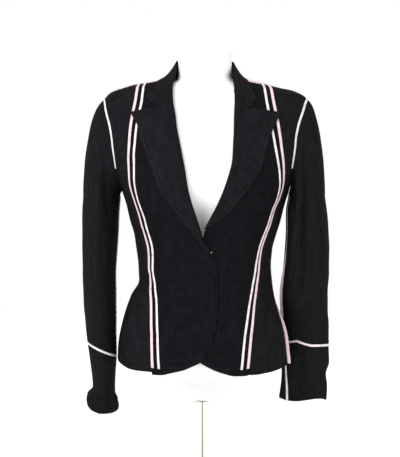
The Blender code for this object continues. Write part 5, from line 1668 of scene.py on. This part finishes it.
def collar_half(side):
    """Half of the collar's middle surface: rows from the front to the centre back, columns over the fold."""
    top = face_points(side, ROLL_LINE[side][-1:])[0]
    notch = face_points(side, [NOTCH[side]])[0]
    tip = face_points(side, [COLLAR_TIP[side]])[0]
    rise = LAY + CLOTH + RIBBON + LAY - CLOTH / 2
    lifted = [p + body_normal(p) * rise for p in (top, notch, tip)]
    spread = COLLAR_SPREAD[side] * np.linspace(1, 0, len(COLLAR_OUTER))
    outer_keys = on_body([(side * (x * MM + more), y * MM, z * MM)
                          for (x, y, z), more in zip(COLLAR_OUTER, spread)])
    outer_keys = list(outer_keys + body_normal(outer_keys) * COLLAR_CLEAR)
    shift, lift = COLLAR_FOLD_MOVE[side]
    folded = []
    for x, y, z in COLLAR_FOLD:
        moved = math.exp(-((y + COLLAR_MOVE_AT["ahead"]) / COLLAR_MOVE_AT["reach"]) ** 2)
        folded.append((x + shift * moved, y, z + lift * moved))
    fold = Path([lifted[0]] + mirrored(side, folded), fit=None)
    outer = Path([lifted[2]] + outer_keys, fit=None)
    front = Chain((Path(lifted[:2], fit=None), COLLAR_GORGE_SHARE),
                  (Path(lifted[1:], fit=None), 1 - COLLAR_GORGE_SHARE))
    back = Path([fold(1.0)] + mirrored(side, [COLLAR_BACK]) + [outer(1.0)], fit=None)
    rows = np.concatenate(([0, 0.004, 0.01, 0.02], np.linspace(0.04, 1, 46)))
    columns = np.concatenate((np.linspace(0, COLLAR_GORGE_SHARE, 13)[:-1],
                              np.linspace(COLLAR_GORGE_SHARE, 1, 10)))
    u, k = np.meshgrid(rows, columns, indexing="ij")
    u, k = u[..., None], k[..., None]
    fall = fold(rows)[:, None] * (1 - k) + outer(rows)[:, None] * k
    for line, weight in ((front, 1 - smooth_step(u / 0.2)), (back, smooth_step((u - 0.55) / 0.45))):
        path = line(columns)
        straight = path[:1] * (1 - columns[:, None]) + path[-1:] * columns[:, None]
        fall = fall + (path - straight)[None] * weight
    seat = on_body(fall)
    normal = body_normal(seat)
    off = ((fall - seat) * normal).sum(-1, keepdims=True)
    free = smooth_step(k / 0.3) * COLLAR_CLEAR
    fall = fall + normal * np.maximum(free - off, 0)
    neck = Chain((neck_path(side), 0.5), (back_neck_path(side), 0.5))
    base = neck(rows) + np.array((0, 0, COLLAR_SEAT))
    stand = [base + (fall[:, 0] - base) * t for t in np.linspace(0, 1, 8)[:-1]]
    return np.concatenate((np.stack(stand, axis=1), fall), axis=1)


def make_collar():
    """The collar in one piece over both halves, with its fold softened."""
    right, left = collar_half(RIGHT), collar_half(LEFT)
    grid = np.concatenate((right, left[-2::-1]))
    for _ in range(3):
        grid[:, 1:-1] = (grid[:, :-2] + 2 * grid[:, 1:-1] + grid[:, 2:]) / 4
    along, across = np.gradient(grid, axis=0), np.gradient(grid, axis=1)
    normal = unit(np.cross(across, along))
    if normal[0, -1, 1] > 0:
        normal = -normal
    height = np.full(grid.shape[:2], WALL / 2)
    piece = shaped_wall("collar_cloth", grid, normal, height, looks()["cloth"],
                        free=("right", "bottom", "top"))
    finish_piece(piece, ["collar"])
    edge_topstitch("collar", grid + normal * (WALL / 2), normal, TOPSTITCH_ROWS[:1])
    return piece, grid, "collar"


# --- Form and stand -------------------------------------------------------------------------------------

def form_ring(z):
    """One ring of the form, just inside the cloth and no wider than its own trunk."""
    angles = np.linspace(0, 360, FORM_SIDES, endpoint=False)
    hip = max(z, SEAT[-1][0] * MM)
    ring = np.array([ring_point(LEFT if angle <= 180 else RIGHT, min(angle, 360 - angle), hip)
                     for angle in angles])
    hung = smooth_step((hip - EASE_CHANGE["from"]) / EASE_CHANGE["fade"])
    ease = BODY_EASE + (BODY_RIDE - BODY_EASE) * hung
    ring = ring - body_normal(ring) * (CLOTH + ease)
    limit = FORM_WIDTH(hip)
    reach = abs(ring[:, 0]) - (limit - FORM_EDGE)
    rounded = limit - FORM_EDGE * np.exp(-np.maximum(reach, 0) / FORM_EDGE)
    ring[:, 0] = np.where(reach > 0, np.sign(ring[:, 0]) * rounded, ring[:, 0])
    if z < hip:
        ring *= (SEAT_AT["width"](z) / MM, SEAT_AT["depth"](z) / MM, 0)
        ring[:, 2] = z
    neck = smooth_step((z - NECK["from"]) / NECK["fade"])
    half = (ring[:, 0].max() - ring[:, 0].min()) / 2
    ring[:, 0] = ring[:, 0] * (1 + neck * (NECK["half_width"] / half - 1)) + neck * NECK["shift"]
    bust = np.exp(-(ring[:, 0] / HOLLOW["width"]) ** 2 - ((z - HOLLOW["z"]) / HOLLOW["height"]) ** 2)
    ring[:, 1] += HOLLOW["depth"] * bust * (ring[:, 1] < 0)
    return ring


def closed_rings(name, rings, look, sharp=50):
    """A closed body through rings of points, from its bottom to its top, each end with a cap."""
    rings = np.array(rings)
    rows, cols = rings.shape[:2]
    index = closed(np.arange(rows * cols).reshape(rows, cols))
    quads = np.stack((index[:-1, :-1], index[:-1, 1:], index[1:, 1:], index[1:, :-1]), -1).reshape(-1, 4)
    faces = quads.tolist() + [index[0, :-1][::-1].tolist(), index[-1, :-1].tolist()]
    return add_mesh(name, rings.reshape(-1, 3), faces, look, sharp=sharp)


def make_form():
    """The moulded form: its seat, its trunk and its neck, with the neck's top rounded off."""
    rim = FORM_TOP - FORM_RIM
    heights = np.concatenate(([row[0] * MM for row in SEAT[:4]], np.linspace(165 * MM, 705 * MM, 96),
                              np.linspace(709 * MM, 790 * MM, 42), np.linspace(794 * MM, rim, 8)))
    rings = [form_ring(h) for h in heights]
    centre = rings[-1].mean(axis=0)
    for turn in np.linspace(0, math.pi / 2, 8):
        inset = FORM_RIM * (1 - math.cos(turn))
        ring = form_ring(rim)
        flat = ring - centre
        flat[:, :2] *= 1 - inset / np.linalg.norm(flat[:, :2], axis=1, keepdims=True)
        ring[:, :2] = centre[:2] + flat[:, :2]
        ring[:, 2] = rim + FORM_RIM * math.sin(turn)
        rings.append(ring)
    rings = np.array(rings)
    rings[..., 0] += GARMENT_X
    piece = closed_rings("form_shell", rings, looks()["shell"])
    finish_piece(piece, ["form"])


def turned(name, profile, look, sides=96):
    """A turned solid on the pole's axis, through radius and height pairs."""
    angles = np.linspace(0, 2 * math.pi, sides, endpoint=False)
    rings = [np.stack((POLE["x"] + r * np.cos(angles), r * np.sin(angles), np.full(sides, z)), -1)
             for r, z in profile]
    return closed_rings(name, rings, look, sharp=35)


def rounded_corner(radius, height, rounding, steps=6):
    """The end of a profile: a corner at a radius and height, rounded."""
    return [(radius - rounding * (1 - math.cos(a)), height - rounding + rounding * math.sin(a))
            for a in np.linspace(0, math.pi / 2, steps)]


def make_stand():
    """The round foot and the pole's tube."""
    low = [(FOOT["radius"] - 0.6 * MM, 0.0), (FOOT["radius"], 0.6 * MM)]
    profile = low + rounded_corner(FOOT["radius"], FOOT["height"], FOOT["chamfer"], 8)
    base = turned("stand_foot_disc", profile, looks()["chrome"], 160)
    finish_piece(base, ["stand_foot"])
    pole = turned("stand_pole_tube", [(POLE["radius"], FOOT["height"] + LAY),
                                      (POLE["radius"], POLE["top"] - 0.4 * MM),
                                      (POLE["radius"] - 0.4 * MM, POLE["top"])], looks()["tube"])
    finish_piece(pole, ["stand_pole"])


# --- Fastening ------------------------------------------------------------------------------------------

def make_fastening():
    """The thread tacks that show at the right front's edge, where its hidden hook is sewn on."""
    rows = []
    at = face_point(LEFT, *FASTENING)
    normal = body_normal(at[None])[0]
    at = at + normal * (OVERLAP["lift"] + 0.3 * MM)
    side_way = unit(np.cross(normal, (0, 0, 1.0)))
    up = np.cross(side_way, normal)
    for turn in np.linspace(0, math.pi, 5)[:-1]:
        way = (side_way * math.cos(turn) + up * math.sin(turn)) * FASTENING_SIZE
        rows.append((np.stack((at - way, at + way)), np.stack((normal, normal))))
    tacks = add_stitches("fastening_tacks", rows, looks()["pale_thread"], FASTENING_THREAD)
    sewn_to("front_right", tacks)


# --- Studio ---------------------------------------------------------------------------------------------

def make_studio():
    """The white room, the pale floor, the two soft lamps and the camera."""
    studio = bpy.context.scene.blazer_studio
    world = bpy.data.worlds.new("white_studio")
    world.use_nodes = True
    world.node_tree.nodes["Background"].inputs["Color"].default_value = (1, 1, 1, 1)
    world.node_tree.nodes["Background"].inputs["Strength"].default_value = studio.room_light
    bpy.context.scene.world = world
    bpy.context.scene.view_settings.view_transform = "Standard"
    bpy.ops.mesh.primitive_circle_add(vertices=96, radius=studio.floor_radius, fill_type="NGON",
                                      location=(0, 0, -0.2 * MM))
    floor = bpy.context.object
    floor.name = "studio_floor"
    look, _, shader = principled("pale_floor", (0.9, 0.9, 0.9), 0.9)
    shader.inputs["Emission Color"].default_value = (1, 1, 1, 1)
    shader.inputs["Emission Strength"].default_value = studio.floor_glow
    floor.data.materials.append(look)
    for name, place, size, power in (("key", (-1.7, -2.5, 2.2), 1.6, studio.key_light),
                                     ("fill", (2.2, -1.8, 1.2), 2.4, studio.fill_light)):
        lamp = bpy.data.lights.new(name, "AREA")
        lamp.size = size
        lamp.energy = power
        made = add_object(name, lamp)
        made.location = place
        made.rotation_euler = (Vector((0, 0, 0.5)) - Vector(place)).to_track_quat("-Z", "Y").to_euler()
    make_camera()


def make_camera():
    """The photo's camera, level with the blazer's middle."""
    turn = math.radians(CAMERA["azimuth"])
    back = Vector((math.sin(turn), -math.cos(turn), 0))
    camera = bpy.data.cameras.new("camera")
    camera.sensor_width = SENSOR
    camera.lens = SENSOR * CAMERA["distance"] / CAMERA["frame_height"]
    made = add_object("camera", camera)
    made.location = Vector(CAMERA["aim"]) + back * CAMERA["distance"]
    made.rotation_euler = (-back).to_track_quat("-Z", "Y").to_euler()
    bpy.context.scene.camera = made


# --- Settings, operators and panel ----------------------------------------------------------------------

def length_property(name, description, default):
    return bpy.props.FloatProperty(name=name, description=description, default=default, unit="LENGTH",
                                   precision=5)


class BlazerSizes(bpy.types.PropertyGroup):
    stitch_length: length_property("Stitch length", "Length of one topstitch", STITCH["length"])
    stitch_pitch: length_property("Stitch pitch", "From one topstitch to the next", STITCH["pitch"])
    thread_thickness: length_property("Thread thickness", "Width of the sewing thread", STITCH["thickness"])


def colour_property(name, description, default):
    return bpy.props.FloatVectorProperty(name=name, description=description, default=default, size=3,
                                         subtype="COLOR", min=0, max=1)


class BlazerColours(bpy.types.PropertyGroup):
    cloth: colour_property("Cloth", "Sleeves, backs, side fronts, lapels and collar",
                           (0.0084, 0.0080, 0.0096))
    # Painted shade: the same cloth as the rest, made darker for the fronts.
    front_cloth: colour_property("Cloth of the fronts", "The two fronts", (0.0058, 0.0054, 0.0068))
    rose_ribbon: colour_property("Rose ribbon", "Ribbons along the princess, side and sleeve seams",
                                 (0.70, 0.545, 0.58))
    pale_ribbon: colour_property("Pale ribbon", "Inner, armhole and cuff ribbons", (0.78, 0.73, 0.745))
    ribbon_shade: colour_property("Ribbon shade", "Deeper tone in the ribbons' ripples", (0.50, 0.36, 0.39))
    dark_thread: colour_property("Dark thread", "Topstitching on the cloth", (0.0062, 0.0060, 0.0072))
    pale_thread: colour_property("Pale thread", "Stitches on the ribbons", (0.62, 0.50, 0.52))
    # Colour of the painted reflection down the pole's tube.
    tube_painted_reflection: colour_property("Tube painted reflection", "Painted reflection down the pole's tube", (0.34, 0.29, 0.21))
    loose_yarn: colour_property("Loose yarn", "Frayed yarns at the cuffs' ends", (0.10, 0.11, 0.12))
    form: colour_property("Form", "The dress form's paint", (0.86, 0.86, 0.87))
    chrome: colour_property("Chrome", "Pole and foot", (0.80, 0.80, 0.80))


class BlazerStudio(bpy.types.PropertyGroup):
    room_light: bpy.props.FloatProperty(name="Room light", description="Brightness of the white room",
                                        default=1.0, min=0)
    key_light: bpy.props.FloatProperty(name="Key light", description="Large soft lamp from the front left",
                                       default=75.0, unit="POWER")
    fill_light: bpy.props.FloatProperty(name="Fill light", description="Soft lamp from the front right",
                                        default=10.0, unit="POWER")
    floor_radius: bpy.props.FloatProperty(name="Floor radius", description="Radius of the round pale floor",
                                          default=6.0, unit="LENGTH")
    floor_glow: bpy.props.FloatProperty(name="Floor glow", description="Light given off by the pale floor",
                                        default=0.25, min=0)


BUILT = {}


class BuildFronts(bpy.types.Operator):
    """Build the two fronts with their topstitched edges"""
    bl_idname = "blazer.fronts"
    bl_label = "Fronts"

    def execute(self, context):
        for side in SIDES:
            BUILT["front", side] = make_front(side)
        return {"FINISHED"}


class BuildSideFronts(bpy.types.Operator):
    """Build the two side fronts"""
    bl_idname = "blazer.side_fronts"
    bl_label = "Side Fronts"

    def execute(self, context):
        for side in SIDES:
            BUILT["side_front", side] = make_hung_panel("side_front", side)
        return {"FINISHED"}


class BuildBacks(bpy.types.Operator):
    """Build the two backs"""
    bl_idname = "blazer.backs"
    bl_label = "Backs"

    def execute(self, context):
        for side in SIDES:
            BUILT["back", side] = make_hung_panel("back", side)
        return {"FINISHED"}


class BuildLapels(bpy.types.Operator):
    """Build the two peak lapels with their rolled folds"""
    bl_idname = "blazer.lapels"
    bl_label = "Lapels"

    def execute(self, context):
        for side in SIDES:
            BUILT["lapel", side] = make_lapel(side)
        return {"FINISHED"}


class BuildCollar(bpy.types.Operator):
    """Build the folded collar"""
    bl_idname = "blazer.collar"
    bl_label = "Collar"

    def execute(self, context):
        BUILT["collar", 0] = make_collar()
        return {"FINISHED"}


class BuildSleeves(bpy.types.Operator):
    """Build the upper and under sleeves"""
    bl_idname = "blazer.sleeves"
    bl_label = "Sleeves"

    def execute(self, context):
        for side in SIDES:
            BUILT["under", side], BUILT["upper", side] = make_sleeve(side)
        return {"FINISHED"}


class BuildCuffs(bpy.types.Operator):
    """Build the gathered right cuff and the wavy left one"""
    bl_idname = "blazer.cuffs"
    bl_label = "Cuffs"

    def execute(self, context):
        for side in SIDES:
            BUILT["cuff", side] = make_cuff(side)
        return {"FINISHED"}


class BuildBodyRibbons(bpy.types.Operator):
    """Lay the ribbons along the princess, side, armhole and shoulder seams"""
    bl_idname = "blazer.body_ribbons"
    bl_label = "Body Ribbons"

    def execute(self, context):
        for side in SIDES:
            make_princess_ribbons(side)
            make_body_ribbons(side)
        return {"FINISHED"}


class BuildSleeveRibbons(bpy.types.Operator):
    """Lay the ribbons along the sleeve and cuff seams"""
    bl_idname = "blazer.sleeve_ribbons"
    bl_label = "Sleeve Ribbons"

    def execute(self, context):
        for side in SIDES:
            make_sleeve_ribbons(side)
        return {"FINISHED"}


class BuildFastening(bpy.types.Operator):
    """Sew the tacks of the hidden hook at the right front's edge"""
    bl_idname = "blazer.fastening"
    bl_label = "Fastening"

    def execute(self, context):
        make_fastening()
        return {"FINISHED"}


class BuildStand(bpy.types.Operator):
    """Build the limbless form, its pole and its foot"""
    bl_idname = "blazer.stand"
    bl_label = "Form and Stand"

    def execute(self, context):
        make_form()
        make_stand()
        return {"FINISHED"}


class DeclareCloth(bpy.types.Operator):
    """Work out the flat size and area of each piece of cloth; they are not kept"""
    bl_idname = "blazer.declare_cloth"
    bl_label = "State the Cuts"

    def execute(self, context):
        if not BUILT:
            raise RuntimeError("build the pieces of cloth first")
        for (kind, side), (piece, grid, node) in BUILT.items():
            declare(grid, ring=kind == "cuff")
        return {"FINISHED"}


class BuildStudio(bpy.types.Operator):
    """Set up the pale floor, the soft light and the camera"""
    bl_idname = "blazer.studio"
    bl_label = "Studio"

    def execute(self, context):
        make_studio()
        return {"FINISHED"}


STEPS = (BuildFronts, BuildSideFronts, BuildBacks, BuildLapels, BuildCollar, BuildSleeves, BuildCuffs,
         BuildBodyRibbons, BuildSleeveRibbons, BuildFastening, BuildStand, DeclareCloth, BuildStudio)


class BlazerPanel(bpy.types.Panel):
    """Lists the blazer's settings and the steps that build it"""
    bl_idname = "VIEW3D_PT_blazer"
    bl_label = "Blazer"
    bl_space_type = "VIEW_3D"
    bl_region_type = "UI"
    bl_category = "Blazer"

    def draw(self, context):
        for group in (context.scene.blazer_sizes, context.scene.blazer_colours, context.scene.blazer_studio):
            box = self.layout.box()
            for name in group.__annotations__:
                box.prop(group, name)
        for step in STEPS:
            self.layout.operator(step.bl_idname)


GROUPS = {"blazer_sizes": BlazerSizes, "blazer_colours": BlazerColours, "blazer_studio": BlazerStudio}


def register():
    for name, group in GROUPS.items():
        bpy.utils.register_class(group)
        setattr(bpy.types.Scene, name, bpy.props.PointerProperty(type=group))
    for made in STEPS + (BlazerPanel,):
        bpy.utils.register_class(made)


def unregister():
    for made in (BlazerPanel,) + STEPS[::-1]:
        bpy.utils.unregister_class(made)
    for name, group in GROUPS.items():
        delattr(bpy.types.Scene, name)
        bpy.utils.unregister_class(group)


def main():
    register()
    for step in STEPS:
        family, name = step.bl_idname.split(".")
        getattr(getattr(bpy.ops, family), name)()
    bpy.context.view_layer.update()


if __name__ == "__main__":
    main()
